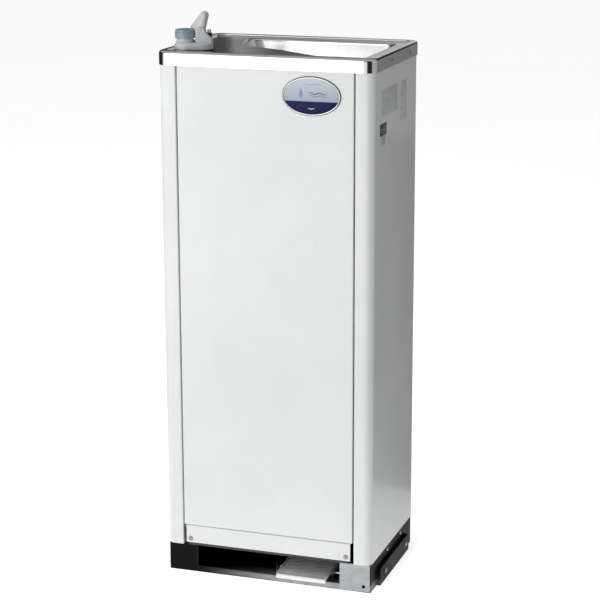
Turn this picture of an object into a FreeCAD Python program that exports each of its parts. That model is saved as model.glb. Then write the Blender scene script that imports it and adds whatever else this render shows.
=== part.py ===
import FreeCAD, Part
import math
import os
import re
import Sketcher

# Floor-standing drinking fountain: a narrow cooler cabinet with a stainless deck and basin,
# a bubbler with a push button at the left front, and a foot pedal in the black base.
# Millimetres. X runs to the right, Y to the back, Z up. The origin is on the floor,
# under the middle of the cabinet.

Vector = FreeCAD.Vector

drivingDims = {
    "cabinetWidth": 358,
    "cabinetDepth": 260,
    "cabinetBottom": 49,
    "panelTop": 868,
    "gauge": 1.2,
    "cornerRadius": 13.3,
    "pillarWidth": 29.5,
    "panelGap": 2.2,
    "panelReturn": 14,
    "kickTop": 84,
    "kickBottom": 53.5,
    "deckTop": 880,
    "skirtHeight": 23,
    "skirtProud": 2.5,
    "skirtRadius": 18,
    "deckGauge": 1.5,
    "rimWidth": 12,
    "rimRise": 3,
    "basinDepth": 46,
    "basinLeft": -108,
    "basinRight": 153,
    "basinBack": 96,
    "basinFront": -112,
    "drainX": 112,
    "drainY": 30,
    "drainRadius": 21,
    "baseHeight": 48.6,
    "baseInset": 1.5,
    "baseRecess": 5.7,
    "baseShort": 7,
    "baseGauge": 1.6,
    "lipHeight": 10.4,
    "openingHalf": 126,
    "anchorX": 148,
    "anchorY": 95,
    "anchorRadius": 5,
    "footProud": 6.5,
    "footHalf": 88,
    "footHeight": 30,
    "pedalLeft": 18,
    "pedalWidth": 86,
    "pedalFront": -138,
    "pedalBack": -58,
    "pedalFrontTop": 20,
    "pedalSlope": 4.34,
    "pedalThick": 4,
    "pivotY": -90,
    "pivotZ": 14,
    "pivotRadius": 3,
    "runningGap": 0.05,
    "valveX": 61,
    "valveY": -66,
    "bubblerX": -131,
    "bubblerY": -93,
    "bubblerTurn": 20,
    "bubblerLength": 61,
    "bubblerWidth": 38,
    "gasketThick": 2.5,
    "neckX": -14,
    "neckRadius": 13.5,
    "neckTop": 22,
    "buttonRadius": 16.2,
    "buttonBottom": 20.4,
    "buttonTop": 32,
    "humpTop": 20.5,
    "guardTop": 61,
    "nozzleX": 24.6,
    "shankRadius": 9,
    "badgeX": 78.5,
    "badgeZ": 818,
    "badgeHalfWidth": 47.6,
    "badgeHalfHeight": 30.2,
    "screwRadius": 4.2,
    "tankX": 0,
    "tankY": 7.5,
    "tankRadius": 60,
    "tankBottom": 566,
    "tankHeight": 220,
    "foamHalf": 82.5,
    "foamBottom": 538,
    "foamTop": 810,
    "compressorX": 75,
    "compressorY": 20,
    "compressorRadius": 52,
    "fanX": -75,
    "fanZ": 165,
    "drainPipeRadius": 12.4,
    "outletRadius": 13,
    "inletX": -120,
    "inletZ": 420,
    "glandX": 52,
    "glandZ": 290,
    "outletX": 118,
    "outletZ": 120,
}

doc = FreeCAD.newDocument("DrinkingFountain")
sheet = doc.addObject("Spreadsheet::Sheet", "Sheet")
for row, (alias, value) in enumerate(drivingDims.items(), start=1):
    sheet.set(f"A{row}", alias)
    sheet.set(f"B{row}", str(value))
    sheet.setAlias(f"B{row}", alias)
doc.recompute()

nodes = []


# Expressions name the sheet's cells by their plain aliases.

def bound(text):
    def cell(word):
        return "Sheet." + word.group() if word.group() in drivingDims else word.group()
    return re.sub(r"[A-Za-z_]\w*", cell, str(text))


def num(text):
    return float(sheet.evalExpression(bound(text)))


def bind(item, **values):
    for name, text in values.items():
        item.setExpression(name, bound(text))
    return item


def move(item, at, toward=(0, 0, 1), turn=0):
    """Puts an item's own origin at a point, its Z axis along toward."""
    rotation = FreeCAD.Rotation(Vector(0, 0, 1), Vector(*toward))
    rotation = FreeCAD.Rotation(Vector(0, 0, 1), turn) * rotation
    item.Placement = FreeCAD.Placement(Vector(*[num(value) for value in at]), rotation)
    for axis, value in zip("xyz", at):
        item.setExpression(f".Placement.Base.{axis}", bound(value))
    return item


def keep(node, item):
    """Names a finished sub-part and lists it for writing."""
    item.Label = node
    nodes.append(item)
    return item


# Primitives and booleans

def box(name, size, at):
    item = doc.addObject("Part::Box", name)
    bind(item, Length=size[0], Width=size[1], Height=size[2])
    return move(item, at)


def slab(name, size, placement):
    """A box that is turned as well as moved."""
    item = doc.addObject("Part::Box", name)
    bind(item, Length=size[0], Width=size[1], Height=size[2])
    item.Placement = placement
    return item


def rod(name, radius, length, at, toward=(0, 0, 1)):
    item = doc.addObject("Part::Cylinder", name)
    bind(item, Radius=radius, Height=length)
    return move(item, at, toward)


def cone(name, low, high, length, at, toward=(0, 0, 1)):
    item = doc.addObject("Part::Cone", name)
    bind(item, Radius1=low, Radius2=high, Height=length)
    return move(item, at, toward)


def group(name, items):
    item = doc.addObject("Part::Compound", name)
    item.Links = items
    return item


def cut(name, base, tools):
    item = doc.addObject("Part::Cut", name)
    item.Base = base
    item.Tool = tools[0] if len(tools) == 1 else group(name + "Tools", tools)
    return item


def fuse(name, items):
    item = doc.addObject("Part::MultiFuse", name)
    item.Shapes = items
    return item


def tube(name, outer, inner, length, at, toward=(0, 0, 1)):
    return cut(name, rod(name + "Outer", outer, length, at, toward),
               [rod(name + "Bore", inner, length, at, toward)])


def oval(name, halfWidth, halfHeight, depth, at):
    """An upright elliptical plate whose face looks to the front."""
    curve = doc.addObject("Part::Ellipse", name + "Curve")
    bind(curve, MajorRadius=halfWidth, MinorRadius=halfHeight)
    move(curve, at, toward=(0, -1, 0))
    plate = doc.addObject("Part::Extrusion", name)
    plate.Base = curve
    plate.DirMode = "Custom"
    plate.Dir = Vector(0, -1, 0)
    plate.Solid = True
    return bind(plate, LengthFwd=depth)


# PartDesign bodies: sketches are given as corner lists of expressions

def newBody(name):
    return doc.addObject("PartDesign::Body", name)


def newSketch(body, role, offset=0):
    sketch = body.newObject("Sketcher::SketchObject", body.Name + "Sketch")
    plane = [item for item in body.Origin.OriginFeatures if item.Role == role][0]
    sketch.AttachmentSupport = [(plane, "")]
    sketch.MapMode = "FlatFace"
    sketch.setExpression("AttachmentOffset.Base.z", bound(offset))
    return sketch


def pin(sketch, index, place, u, v):
    """Ties one point of a sketch to its coordinates."""
    for kind, text, line in (("DistanceX", u, -2), ("DistanceY", v, -1)):
        if abs(num(text)) < 1e-9:
            sketch.addConstraint(Sketcher.Constraint("PointOnObject", index, place, line))
            continue
        row = sketch.addConstraint(Sketcher.Constraint(kind, -1, 1, index, place, num(text)))
        sketch.setExpression(f"Constraints[{row}]", bound(text))


def outline(body, role, corners, offset=0):
    sketch = newSketch(body, role, offset)
    points = [Vector(num(u), num(v), 0) for u, v in corners]
    count = len(points)
    for index in range(count):
        sketch.addGeometry(Part.LineSegment(points[index], points[(index + 1) % count]), False)
    for index in range(count):
        sketch.addConstraint(Sketcher.Constraint("Coincident", index, 2, (index + 1) % count, 1))
    for index, (u, v) in enumerate(corners):
        pin(sketch, index, 1, u, v)
    return sketch


def rectangle(body, role, low, high, offset=0):
    corners = [(low[0], low[1]), (high[0], low[1]), (high[0], high[1]), (low[0], high[1])]
    return outline(body, role, corners, offset)


def roundedRectangle(body, role, low, high, radius, offset=0):
    """Four lines and four arcs; each arc is held by its centre and radius."""
    sketch = newSketch(body, role, offset)
    centres = [(f"{high[0]} - ({radius})", f"{low[1]} + {radius}"),
               (f"{high[0]} - ({radius})", f"{high[1]} - ({radius})"),
               (f"{low[0]} + {radius}", f"{high[1]} - ({radius})"),
               (f"{low[0]} + {radius}", f"{low[1]} + {radius}")]
    for index, centre in enumerate(centres):
        circle = Part.Circle(Vector(num(centre[0]), num(centre[1]), 0), Vector(0, 0, 1), num(radius))
        start = (index - 1) * math.pi / 2
        sketch.addGeometry(Part.ArcOfCircle(circle, start, start + math.pi / 2), False)
    for index in range(4):
        ends = sketch.Geometry[index].EndPoint, sketch.Geometry[(index + 1) % 4].StartPoint
        sketch.addGeometry(Part.LineSegment(*ends), False)
    for index, centre in enumerate(centres):
        sketch.addConstraint(Sketcher.Constraint("Tangent", index, 2, index + 4, 1))
        sketch.addConstraint(Sketcher.Constraint("Tangent", index + 4, 2, (index + 1) % 4, 1))
        pin(sketch, index, 3, *centre)
    row = sketch.addConstraint(Sketcher.Constraint("Radius", 0, num(radius)))
    sketch.setExpression(f"Constraints[{row}]", bound(radius))
    return sketch


def circles(body, role, spots, radius, offset=0):
    sketch = newSketch(body, role, offset)
    for index, (u, v) in enumerate(spots):
        circle = Part.Circle(Vector(num(u), num(v), 0), Vector(0, 0, 1), num(radius))
        sketch.addGeometry(circle, False)
        pin(sketch, index, 3, u, v)
        row = sketch.addConstraint(Sketcher.Constraint("Radius", index, num(radius)))
        sketch.setExpression(f"Constraints[{row}]", bound(radius))
    return sketch


def feature(body, kind, sketch, length, reverse=False, middle=False):
    item = body.newObject("PartDesign::" + kind, body.Name + kind)
    item.Profile = sketch
    item.Reversed = reverse
    item.SideType = "Symmetric" if middle else "One side"
    bind(item, Length=length)
    return item


def pad(body, sketch, length, reverse=False, middle=False):
    return feature(body, "Pad", sketch, length, reverse, middle)


def pocket(body, sketch, length, reverse=False, middle=False):
    before = solidVolume(body)
    item = feature(body, "Pocket", sketch, length, reverse, middle)
    if solidVolume(body) > before - 1e-3:
        raise RuntimeError(f"a pocket of {body.Name} cuts nothing")
    return item


def solidVolume(body):
    doc.recompute()
    return body.Shape.Volume


def soften(body, radius, chosen, kind="Fillet"):
    """Rounds or bevels the edges of a body that a test picks out."""
    doc.recompute()
    base = body.Tip
    names = [f"Edge{i}" for i, edge in enumerate(base.Shape.Edges, start=1) if chosen(edge)]
    item = body.newObject("PartDesign::" + kind, body.Name + kind)
    item.Base = (base, names)
    bind(item, **{"Radius" if kind == "Fillet" else "Size": radius})
    doc.recompute()
    if "Invalid" in item.State or not names:
        raise RuntimeError(f"{body.Name} keeps its sharp edges: {len(names)} picked for {radius}")
    return item


def isAlong(axis, edge):
    if edge.Curve.TypeId != "Part::GeomLine":
        return False
    return abs(edge.tangentAt(edge.FirstParameter).dot(Vector(*axis))) > 0.999


def upright(edge):
    return isAlong((0, 0, 1), edge)


def atHeight(level):
    def test(edge):
        bounds = edge.BoundBox
        return abs(bounds.ZMin - num(level)) < 1e-4 and abs(bounds.ZMax - num(level)) < 1e-4
    return test


def near(edge, x, y, reach=1.0):
    middle = edge.BoundBox.Center
    return abs(middle.x - num(x)) < reach and abs(middle.y - num(y)) < reach


def bentPipe(points, radius, bend):
    """A round pipe along straight runs joined by tangent arcs."""
    route = [Vector(*[num(value) for value in point]) for point in points]
    edges = []
    start = route[0]
    for before, corner, after in zip(route, route[1:], route[2:]):
        back = (before - corner).normalize()
        ahead = (after - corner).normalize()
        half = back.getAngle(ahead) / 2
        reach = bend / math.tan(half)
        middle = corner + (back + ahead).normalize() * (bend / math.sin(half) - bend)
        arc = Part.Arc(corner + back * reach, middle, corner + ahead * reach)
        edges += [Part.LineSegment(start, corner + back * reach).toShape(), arc.toShape()]
        start = corner + ahead * reach
    edges.append(Part.LineSegment(start, route[-1]).toShape())
    section = Part.Wire(Part.Circle(route[0], route[1] - route[0], radius).toShape())
    return Part.Wire(edges).makePipeShell([section], True, False)


def pipes(name, runs):
    """Bent pipes in three dimensions, one solid for each run."""
    item = doc.addObject("Part::Feature", name)
    shapes = [bentPipe(points, num(radius), bend) for points, radius, bend in runs]
    item.Shape = shapes[0] if len(shapes) == 1 else Part.makeCompound(shapes)
    return item


def screws(name, spots, direction, shank):
    """Truss-head screws: a low domed head on the sheet and a shank through it."""
    away = Vector(*direction)
    items = []
    for index, spot in enumerate(spots):
        head = cone(f"{name}Head{index}", "screwRadius", "screwRadius * 0.62", 2.2, spot, direction)
        stem = rod(f"{name}Shank{index}", 2, shank, spot, tuple(away * -1))
        items.append(fuse(f"{name}{index}", [head, stem]))
    return group(name, items)


def drills(name, spots, direction, length, radius=2.2):
    """Clearance holes for the screws, started a little above the sheet."""
    away = Vector(*direction)
    items = []
    for index, spot in enumerate(spots):
        start = [f"{value} + {step}" for value, step in zip(spot, away * 1)]
        items.append(rod(f"{name}{index}", radius, length, start, tuple(away * -1)))
    return items


halfWidth = "cabinetWidth / 2"
halfDepth = "cabinetDepth / 2"
wallX = f"{halfWidth} - baseInset"

kickScrewSpots = [(f"{side} * 136.5", f"-{halfDepth} + 0.4", 60.3) for side in (-1, 1)]
footScrewSpots = {
    side: [(f"{side} * ({wallX} + footProud)", y, 16) for y in (-56.5, 69)] for side in (-1, 1)
}
wallScrewSpots = {side: [(f"{side} * ({wallX})", y, 41.5) for y in (-26, 54)] for side in (-1, 1)}
skirtScrewSpots = {
    side: [(f"{side} * ({halfWidth} + skirtProud)", y, 866) for y in (-33, 68)] for side in (-1, 1)
}
rearScrewSpots = {
    side: [(f"{side} * 155.5", halfDepth, z) for z in (90, 460, 830)] for side in (-1, 1)
}


# Base

def baseFrame():
    body = newBody("baseTray")
    front = f"-{halfDepth} + baseRecess"
    back = f"{halfDepth} - baseShort"
    pad(body, rectangle(body, "XY_Plane", (f"-({wallX})", front), (wallX, back)), "baseHeight")
    soften(body, 2.5, upright)
    inner = rectangle(body, "XY_Plane", (f"-({wallX}) + baseGauge", f"{front} + baseGauge"),
                      (f"{wallX} - baseGauge", f"{back} - baseGauge"), "baseHeight")
    pocket(body, inner, "baseHeight - baseGauge")
    mouth = rectangle(body, "XZ_Plane", ("-openingHalf", "lipHeight"),
                      ("openingHalf", "baseHeight + 1"), f"{halfDepth} - baseRecess + 1")
    pocket(body, mouth, "baseGauge + 2")
    anchors = [(f"{i} * anchorX", f"{j} * anchorY") for i in (-1, 1) for j in (-1, 1)]
    pocket(body, circles(body, "XY_Plane", anchors, "anchorRadius"), "baseGauge * 2", middle=True)
    tools = [rod("plateHole", 3, 6, (166, f"{front} - 2", 10.3), (0, 1, 0))]
    for side in (-1, 1):
        spots = wallScrewSpots[side] + [(f"{side} * ({wallX})", y, z) for _, y, z in footScrewSpots[side]]
        tools += drills(f"baseDrill{'LR'[side > 0]}", spots, (side, 0, 0), 4)
    return cut("baseFrame", body, tools)


def sideFoot(name, side):
    """A pressed black plate that stands proud of the base wall and widens the stance."""
    body = newBody(name + "Plate")
    pad(body, rectangle(body, "YZ_Plane", ("-footHalf", 0), ("footHalf", "footHeight")), "footProud")
    soften(body, 9, lambda edge: isAlong((1, 0, 0), edge) and edge.BoundBox.ZMin > 1)
    soften(body, 1.6, lambda edge: edge.BoundBox.XMin > num("footProud") - 0.1
           and edge.BoundBox.ZMax > 0.1)
    hollow = rectangle(body, "YZ_Plane", ("-footHalf + 10", 4), ("footHalf - 10", "footHeight - 5"))
    move(body, (wallX, 0, 0))
    if side < 0:
        body.Placement = FreeCAD.Placement(Vector(-num(wallX), 0, 0), FreeCAD.Rotation(180, 0, 0))
        bind(body, **{".Placement.Base.x": f"-({wallX})"})
    pocket(body, hollow, "footProud - 2.5", reverse=True)
    return cut(name, body, drills(name + "Drill", footScrewSpots[side], (side, 0, 0), 12))


def footScrews():
    left = screws("footScrewsLeft", footScrewSpots[-1], (-1, 0, 0), 8.5)
    right = screws("footScrewsRight", footScrewSpots[1], (1, 0, 0), 8.5)
    upperLeft = screws("wallScrewsLeft", wallScrewSpots[-1], (-1, 0, 0), 3)
    upperRight = screws("wallScrewsRight", wallScrewSpots[1], (1, 0, 0), 3)
    return group("sideFootScrews", [left, right, upperLeft, upperRight])


# Foot pedal and its valve

def pedalBracketRight():
    """A bright corner plate on the base's front, with a web that carries the pedal's rod."""
    face = f"-{halfDepth} + baseRecess"
    body = newBody("cornerPlate")
    corners = [
        ("openingHalf - gauge", f"{face} - gauge"),
        (f"{wallX} - 1", f"{face} - gauge"),
        (f"{wallX} - 1", f"{face} - 0.1"),
        ("openingHalf - 0.1", f"{face} - 0.1"),
        ("openingHalf - 0.1", -70),
        ("openingHalf - gauge", -70),
    ]
    pad(body, outline(body, "XY_Plane", corners, 1.8), "baseHeight - 2")
    tools = [
        box("lipNotch", (3, 3, 10.8), ("openingHalf - 2", f"{face} - 0.2", 0)),
        rod("plateMouth", 3, 6, (166, f"{face} - 3", 10.3), (0, 1, 0)),
        rod("webHole", "pivotRadius", 6, ("openingHalf - 3", "pivotY", "pivotZ"), (1, 0, 0)),
    ]
    return cut("pedalBracketRight", body, tools)


def pedalBracketLeft():
    body = newBody("leftLug")
    corners = [(6, "baseGauge"), (22, "baseGauge"), (22, "baseGauge * 2"), (7.6, "baseGauge * 2"),
               (7.6, 24), (6, 24)]
    pad(body, outline(body, "XZ_Plane", corners, "-pivotY"), 24, middle=True)
    hole = rod("lugHole", "pivotRadius", 6, (4, "pivotY", "pivotZ"), (1, 0, 0))
    return cut("pedalBracketLeft", body, [hole])


def pedalRod():
    shaft = rod("rodShaft", "pivotRadius", "openingHalf + 6 - 3", (3, "pivotY", "pivotZ"), (1, 0, 0))
    collars = [
        tube("rodClipLeft", "pivotRadius + 2", "pivotRadius", 1, (4.9, "pivotY", "pivotZ"), (1, 0, 0)),
        tube("rodClipRight", "pivotRadius + 2", "pivotRadius", 1, (123.6, "pivotY", "pivotZ"), (1, 0, 0)),
    ]
    return fuse("pedalRodAssembled", [shaft] + collars)


def footPedal():
    """An aluminium tread with ribs across it, a rolled front lip and two lugs on the rod."""
    body = newBody("tread")
    run = "(pedalBack - pedalFront)"
    rise = f"({run} * tan(pedalSlope))"
    corners = [
        ("pedalFront", "pedalFrontTop - 8"),
        ("pedalFront + 4.5", "pedalFrontTop - 8"),
        ("pedalFront + 4.5", "pedalFrontTop - pedalThick + 0.3"),
        ("pedalBack", f"pedalFrontTop + {rise} - pedalThick"),
        ("pedalBack", f"pedalFrontTop + {rise}"),
        ("pedalFront", "pedalFrontTop"),
    ]
    pad(body, outline(body, "YZ_Plane", corners, "pedalLeft"), "pedalWidth")
    soften(body, 1.9, lambda edge: isAlong((1, 0, 0), edge) and edge.BoundBox.YMax < num("pedalFront") + 5)
    grooves = []
    for index in range(7):
        start = f"pedalFront + 8 + {index} * 5.6"
        level = f"pedalFrontTop + ({start} - pedalFront) * tan(pedalSlope)"
        grooves.append(rod(f"treadGroove{index}", 1.1, "pedalWidth - 10",
                           ("pedalLeft + 5", start, level), (1, 0, 0)))
    lugs = []
    for index, x in enumerate(("pedalLeft + 8", "pedalLeft + pedalWidth - 16")):
        lugBody = newBody(f"lug{index}")
        shape = [("pivotY - 12", 19), ("pivotY - 5", 9), ("pivotY + 5", 9), ("pivotY + 14", 20.5),
                 ("pivotY + 14", 22), ("pivotY - 12", 20.5)]
        pad(lugBody, outline(lugBody, "YZ_Plane", shape, x), 8)
        lugs.append(lugBody)
    solid = fuse("treadWithLugs", [body] + lugs)
    bore = rod("pedalBore", "pivotRadius + runningGap", 200, (0, "pivotY", "pivotZ"), (1, 0, 0))
    return cut("footPedal", solid, grooves + [bore])


def pedalSpring():
    """A return spring wound round the rod between the pedal's lugs."""
    coils = []
    for index in range(8):
        coil = doc.addObject("Part::Torus", f"springCoil{index}")
        bind(coil, Radius1="pivotRadius + 1.4", Radius2=0.8)
        coils.append(move(coil, (f"54 + {index} * 1.9", "pivotY", "pivotZ"), (1, 0, 0)))
    return group("pedalSpringCoils", coils)


def pedalValveBody():
    low = newBody("valveBarrel")
    pad(low, circles(low, "XY_Plane", [("valveX", "valveY")], 12, 56), 38)
    soften(low, 1.5, atHeight(94), "Chamfer")
    flange = box("valveFlange", (44, 30, 3), ("valveX - 22", "valveY - 15", 53))
    neck = rod("valveNeck", 8, 6, ("valveX", "valveY", 50.6))
    inlet = rod("valveInlet", 7, 17, ("valveX - 17", "valveY", 78), (1, 0, 0))
    outlet = rod("valveOutlet", 7, 5, ("valveX", "valveY", 93))
    solid = fuse("valveSolid", [low, flange, neck, inlet, outlet])
    bore = rod("valveBore", "3 + runningGap", 26, ("valveX", "valveY", 50))
    return cut("pedalValveBody", solid, [bore])


def pedalValvePlunger():
    stem = rod("plungerStem", 3, 41, ("valveX", "valveY", 28.9))
    tip = doc.addObject("Part::Sphere", "plungerTip")
    bind(tip, Radius=3)
    move(tip, ("valveX", "valveY", 28.9))
    collar = rod("plungerCollar", 5, 2, ("valveX", "valveY", 36))
    return fuse("pedalValvePlunger", [stem, tip, collar])


# Cabinet

def sidePanel(name, side):
    """A C-shaped panel: front pillar, side wall and rear flange bent from one sheet."""
    body = newBody(name + "Sheet")
    front, far = f"-{halfDepth}", halfDepth
    edge = f"{halfWidth} - pillarWidth"
    outer = [(edge, front), (halfWidth, front), (halfWidth, far), (edge, far)]
    wall = f"{halfWidth} - gauge"
    inner = [(edge, f"{far} - gauge"), (wall, f"{far} - gauge"), (wall, f"{front} + gauge"),
             (edge, f"{front} + gauge")]
    corners = [(f"{side} * ({u})", v) for u, v in outer + inner]
    pad(body, outline(body, "XY_Plane", corners, "cabinetBottom"), "panelTop - cabinetBottom")
    outerX = f"{side} * {halfWidth}"
    innerX = f"{side} * ({halfWidth} - gauge)"
    soften(body, "cornerRadius", lambda e: upright(e) and abs(e.BoundBox.XMin - num(outerX)) < 0.01)
    soften(body, "cornerRadius - gauge", lambda e: upright(e) and abs(e.BoundBox.XMin - num(innerX)) < 0.01)
    return cut(name, body, drills(name + "Drill", rearScrewSpots[side], (0, 1, 0), 4))


def frontPanel():
    body = newBody("frontTray")
    halfSpan = f"({halfWidth} - pillarWidth - panelGap)"
    low = (f"-{halfSpan}", "kickTop + 0.8")
    high = (halfSpan, "panelTop - 2")
    pad(body, rectangle(body, "XZ_Plane", low, high, halfDepth), "panelReturn", reverse=True)
    soften(body, 1, lambda edge: abs(edge.BoundBox.YMin + num(halfDepth)) < 1e-4
           and abs(edge.BoundBox.YMax + num(halfDepth)) < 1e-4)
    lowIn = (f"-{halfSpan} + gauge", "kickTop + 0.8 + gauge")
    highIn = (f"{halfSpan} - gauge", "panelTop - 2 - gauge")
    hollow = rectangle(body, "XZ_Plane", lowIn, highIn, f"{halfDepth} - panelReturn")
    pocket(body, hollow, "panelReturn - gauge", reverse=True)
    return body


def kickPanel():
    body = newBody("kickFold")
    face = f"-{halfDepth} + 0.4"
    corners = [
        (face, "kickBottom"),
        (f"{face} + gauge", "kickBottom"),
        (f"{face} + gauge", "kickTop - gauge"),
        (f"{face} + 12", "kickTop - gauge"),
        (f"{face} + 12", "kickTop"),
        (face, "kickTop"),
    ]
    pad(body, outline(body, "YZ_Plane", corners), f"2 * ({halfWidth} - pillarWidth - 5.5)", middle=True)
    return cut("kickPanel", body, drills("kickDrill", kickScrewSpots, (0, -1, 0), 4))


def rearPanel():
    """A flat sheet behind the rear flanges, with two fields of air slots."""
    body = newBody("rearSheet")
    low, high = (-161, "cabinetBottom + 2"), (161, "panelTop - 4")
    pad(body, rectangle(body, "XZ_Plane", low, high, f"-{halfDepth} + gauge + 0.1"), 1.2)
    for bottom, count in ((84, 14), (640, 8)):
        slot = rectangle(body, "XZ_Plane", (-135, bottom), (-15, bottom + 6), f"-{halfDepth} - 4")
        cutter = pocket(body, slot, 12, reverse=True)
        pattern = body.newObject("PartDesign::LinearPattern", "slotRows")
        pattern.Originals = [cutter]
        pattern.Direction = (slot, ["V_Axis"])
        pattern.Length = (count - 1) * 13
        pattern.Occurrences = count
        body.Tip = pattern
        doc.recompute()
    tools = [
        rod("inletHole", 11, 8, ("inletX", f"{halfDepth} - 5", "inletZ"), (0, 1, 0)),
        rod("outletHole", "drainPipeRadius + 0.3", 8, ("outletX", f"{halfDepth} - 5", "outletZ"),
            (0, 1, 0)),
        rod("glandHole", 8.2, 8, ("glandX", f"{halfDepth} - 5", "glandZ"), (0, 1, 0)),
        rod("thermostatHole", 4, 8, (-60, f"{halfDepth} - 5", 560), (0, 1, 0)),
    ]
    for side in (-1, 1):
        tools += drills(f"rearDrill{'LR'[side > 0]}", rearScrewSpots[side], (0, 1, 0), 5)
    return cut("rearPanel", body, tools)


def chassisShelf():
    """The machine shelf: it closes the cabinet's floor and its front flange takes the kick panel."""
    body = newBody("shelfFold")
    front = f"-{halfDepth} + 1.8"
    corners = [
        (front, "baseHeight + 0.2"),
        (f"{halfDepth} - 3", "baseHeight + 0.2"),
        (f"{halfDepth} - 3", "baseHeight + 1.8"),
        (f"{front} + 1.6", "baseHeight + 1.8"),
        (f"{front} + 1.6", 70),
        (front, 70),
    ]
    pad(body, outline(body, "YZ_Plane", corners), 282, middle=True)
    tools = [rod("plungerHole", 8.3, 8, ("valveX", "valveY", "baseHeight - 2"))]
    tools += drills("shelfDrill", kickScrewSpots, (0, -1, 0), 8)
    return cut("chassisShelf", body, tools)


# Deck and drain

def bowlForm(name, grow, low, high, floorRadius):
    """The basin's shape, square at the back and right, cut off diagonally towards the bubbler."""
    corners = [
        (f"basinLeft - {grow}", f"basinBack + {grow}", 22),
        (f"basinRight + {grow}", f"basinBack + {grow}", 22),
        (f"basinRight + {grow}", f"basinFront - {grow}", 22),
        (f"100 - {grow} * 0.33", f"basinFront - {grow}", 30),
        (f"0 - {grow} * 0.5", f"-40 - {grow} * 0.92", 60),
        (f"-85 - {grow} * 0.8", f"2 - {grow} * 0.6", 25),
    ]
    body = newBody(name)
    pad(body, outline(body, "XY_Plane", [(x, y) for x, y, _ in corners], low), f"{high} - ({low})")
    for x, y, radius in corners:
        soften(body, f"{radius} + {grow}", lambda e: upright(e) and near(e, x, y, 0.3))
    soften(body, floorRadius, atHeight(low))
    return body


def deck():
    """One pressed sheet: rounded skirt, raised rim, flat top and a deep bowl."""
    body = newBody("deckPressing")
    halfX = f"({halfWidth} + skirtProud)"
    halfY = f"({halfDepth} + skirtProud)"
    skirtLow = "(deckTop - skirtHeight)"
    plate = "(deckTop - rimRise)"
    floor = f"({plate} - basinDepth)"

    def ringed(inset, radius, level):
        return roundedRectangle(body, "XY_Plane", (f"-{halfX} + {inset}", f"-{halfY} + {inset}"),
                                (f"{halfX} - {inset}", f"{halfY} - {inset}"), radius, level)

    pad(body, ringed(0, "skirtRadius", skirtLow), "skirtHeight")
    soften(body, 5.5, atHeight("deckTop"))
    underside = ringed("deckGauge", "skirtRadius - deckGauge", skirtLow)
    pocket(body, underside, "skirtHeight - rimRise - deckGauge", reverse=True)
    pocket(body, ringed("rimWidth", "skirtRadius - 6", "deckTop"), "rimRise")
    shell = bowlForm("bowlShell", "deckGauge", f"{floor} - deckGauge", f"{plate} - deckGauge", 10.5)
    hollow = bowlForm("bowlHollow", "0", floor, f"{plate} + 5", 9)
    tools = [
        hollow,
        rod("basinDrainHole", "drainRadius", 10, ("drainX", "drainY", f"{floor} - 6")),
        rod("bubblerHole", "shankRadius + 0.6", 10, ("bubblerX", "bubblerY", f"{plate} - 6")),
    ]
    for side in (-1, 1):
        tools += drills(f"skirtDrill{'LR'[side > 0]}", skirtScrewSpots[side], (side, 0, 0), 4)
    return cut("deck", fuse("deckWithBowl", [body, shell]), tools)


def deckScrews():
    return group("deckScrewSet", [
        screws("skirtScrewsLeft", skirtScrewSpots[-1], (-1, 0, 0), 2.3),
        screws("skirtScrewsRight", skirtScrewSpots[1], (1, 0, 0), 2.3),
    ])


def drainStrainer():
    floor = "(deckTop - rimRise - basinDepth)"
    plate = rod("strainerPlate", "drainRadius + 4", 1.4, ("drainX", "drainY", floor))
    collar = rod("strainerCollar", "drainRadius - 0.6", 4, ("drainX", "drainY", f"{floor} - 3.6"))
    solid = fuse("strainerSolid", [plate, collar])
    holes = [rod("strainerHole0", 1.6, 12, ("drainX", "drainY", f"{floor} - 6"))]
    for ring, count in ((6.5, 6), (11.5, 10), (16.5, 16)):
        for index in range(count):
            angle = 2 * math.pi * index / count
            spot = (f"drainX + {ring * math.cos(angle):.4f}", f"drainY + {ring * math.sin(angle):.4f}")
            holes.append(rod(f"strainerHole{ring:.0f}at{index}", 1.6, 12, spot + (f"{floor} - 6",)))
    return cut("drainStrainer", solid, holes)


def drainCup():
    under = "(deckTop - rimRise - basinDepth - deckGauge)"
    flange = rod("cupFlange", "drainRadius + 5", 2, ("drainX", "drainY", f"{under} - 2"))
    wall = rod("cupWall", "drainRadius + 2", 14, ("drainX", "drainY", f"{under} - 15"))
    neck = rod("cupNeck", "drainPipeRadius", 16, ("drainX", "drainY", f"{under} - 30"))
    hollow = rod("cupHollow", "drainRadius", 13, ("drainX", "drainY", f"{under} - 12"))
    throat = rod("cupThroat", "drainPipeRadius - 2.5", 40, ("drainX", "drainY", f"{under} - 31"))
    return cut("drainCup", fuse("cupSolid", [flange, wall, neck]), [hollow, throat])


def drainPipe():
    top = "deckTop - rimRise - basinDepth - deckGauge - 30"
    route = [
        ("drainX", "drainY", top),
        ("drainX", "drainY", 745),
        ("outletX", 98, 660),
        ("outletX", 98, "outletZ"),
        ("outletX", f"{halfDepth} - 4", "outletZ"),
    ]
    return pipes("drainPipeRun", [(route, "drainPipeRadius", 17)])


def drainOutlet():
    """A hose stub whose thinner neck passes through the rear panel."""
    stub = rod("outletStub", "outletRadius", 21.2, ("outletX", f"{halfDepth} - 1.2", "outletZ"), (0, 1, 0))
    neck = rod("outletNeck", "drainPipeRadius", 3, ("outletX", f"{halfDepth} - 3.9", "outletZ"), (0, 1, 0))
    bore = rod("outletBore", "drainPipeRadius - 2.5", 60, ("outletX", f"{halfDepth} - 30", "outletZ"),
               (0, 1, 0))
    return cut("drainOutletTurned", fuse("outletSolid", [stub, neck]), [bore])


# Bubbler: its own X axis points from the button to the nozzle, its base is at Z = 0

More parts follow.
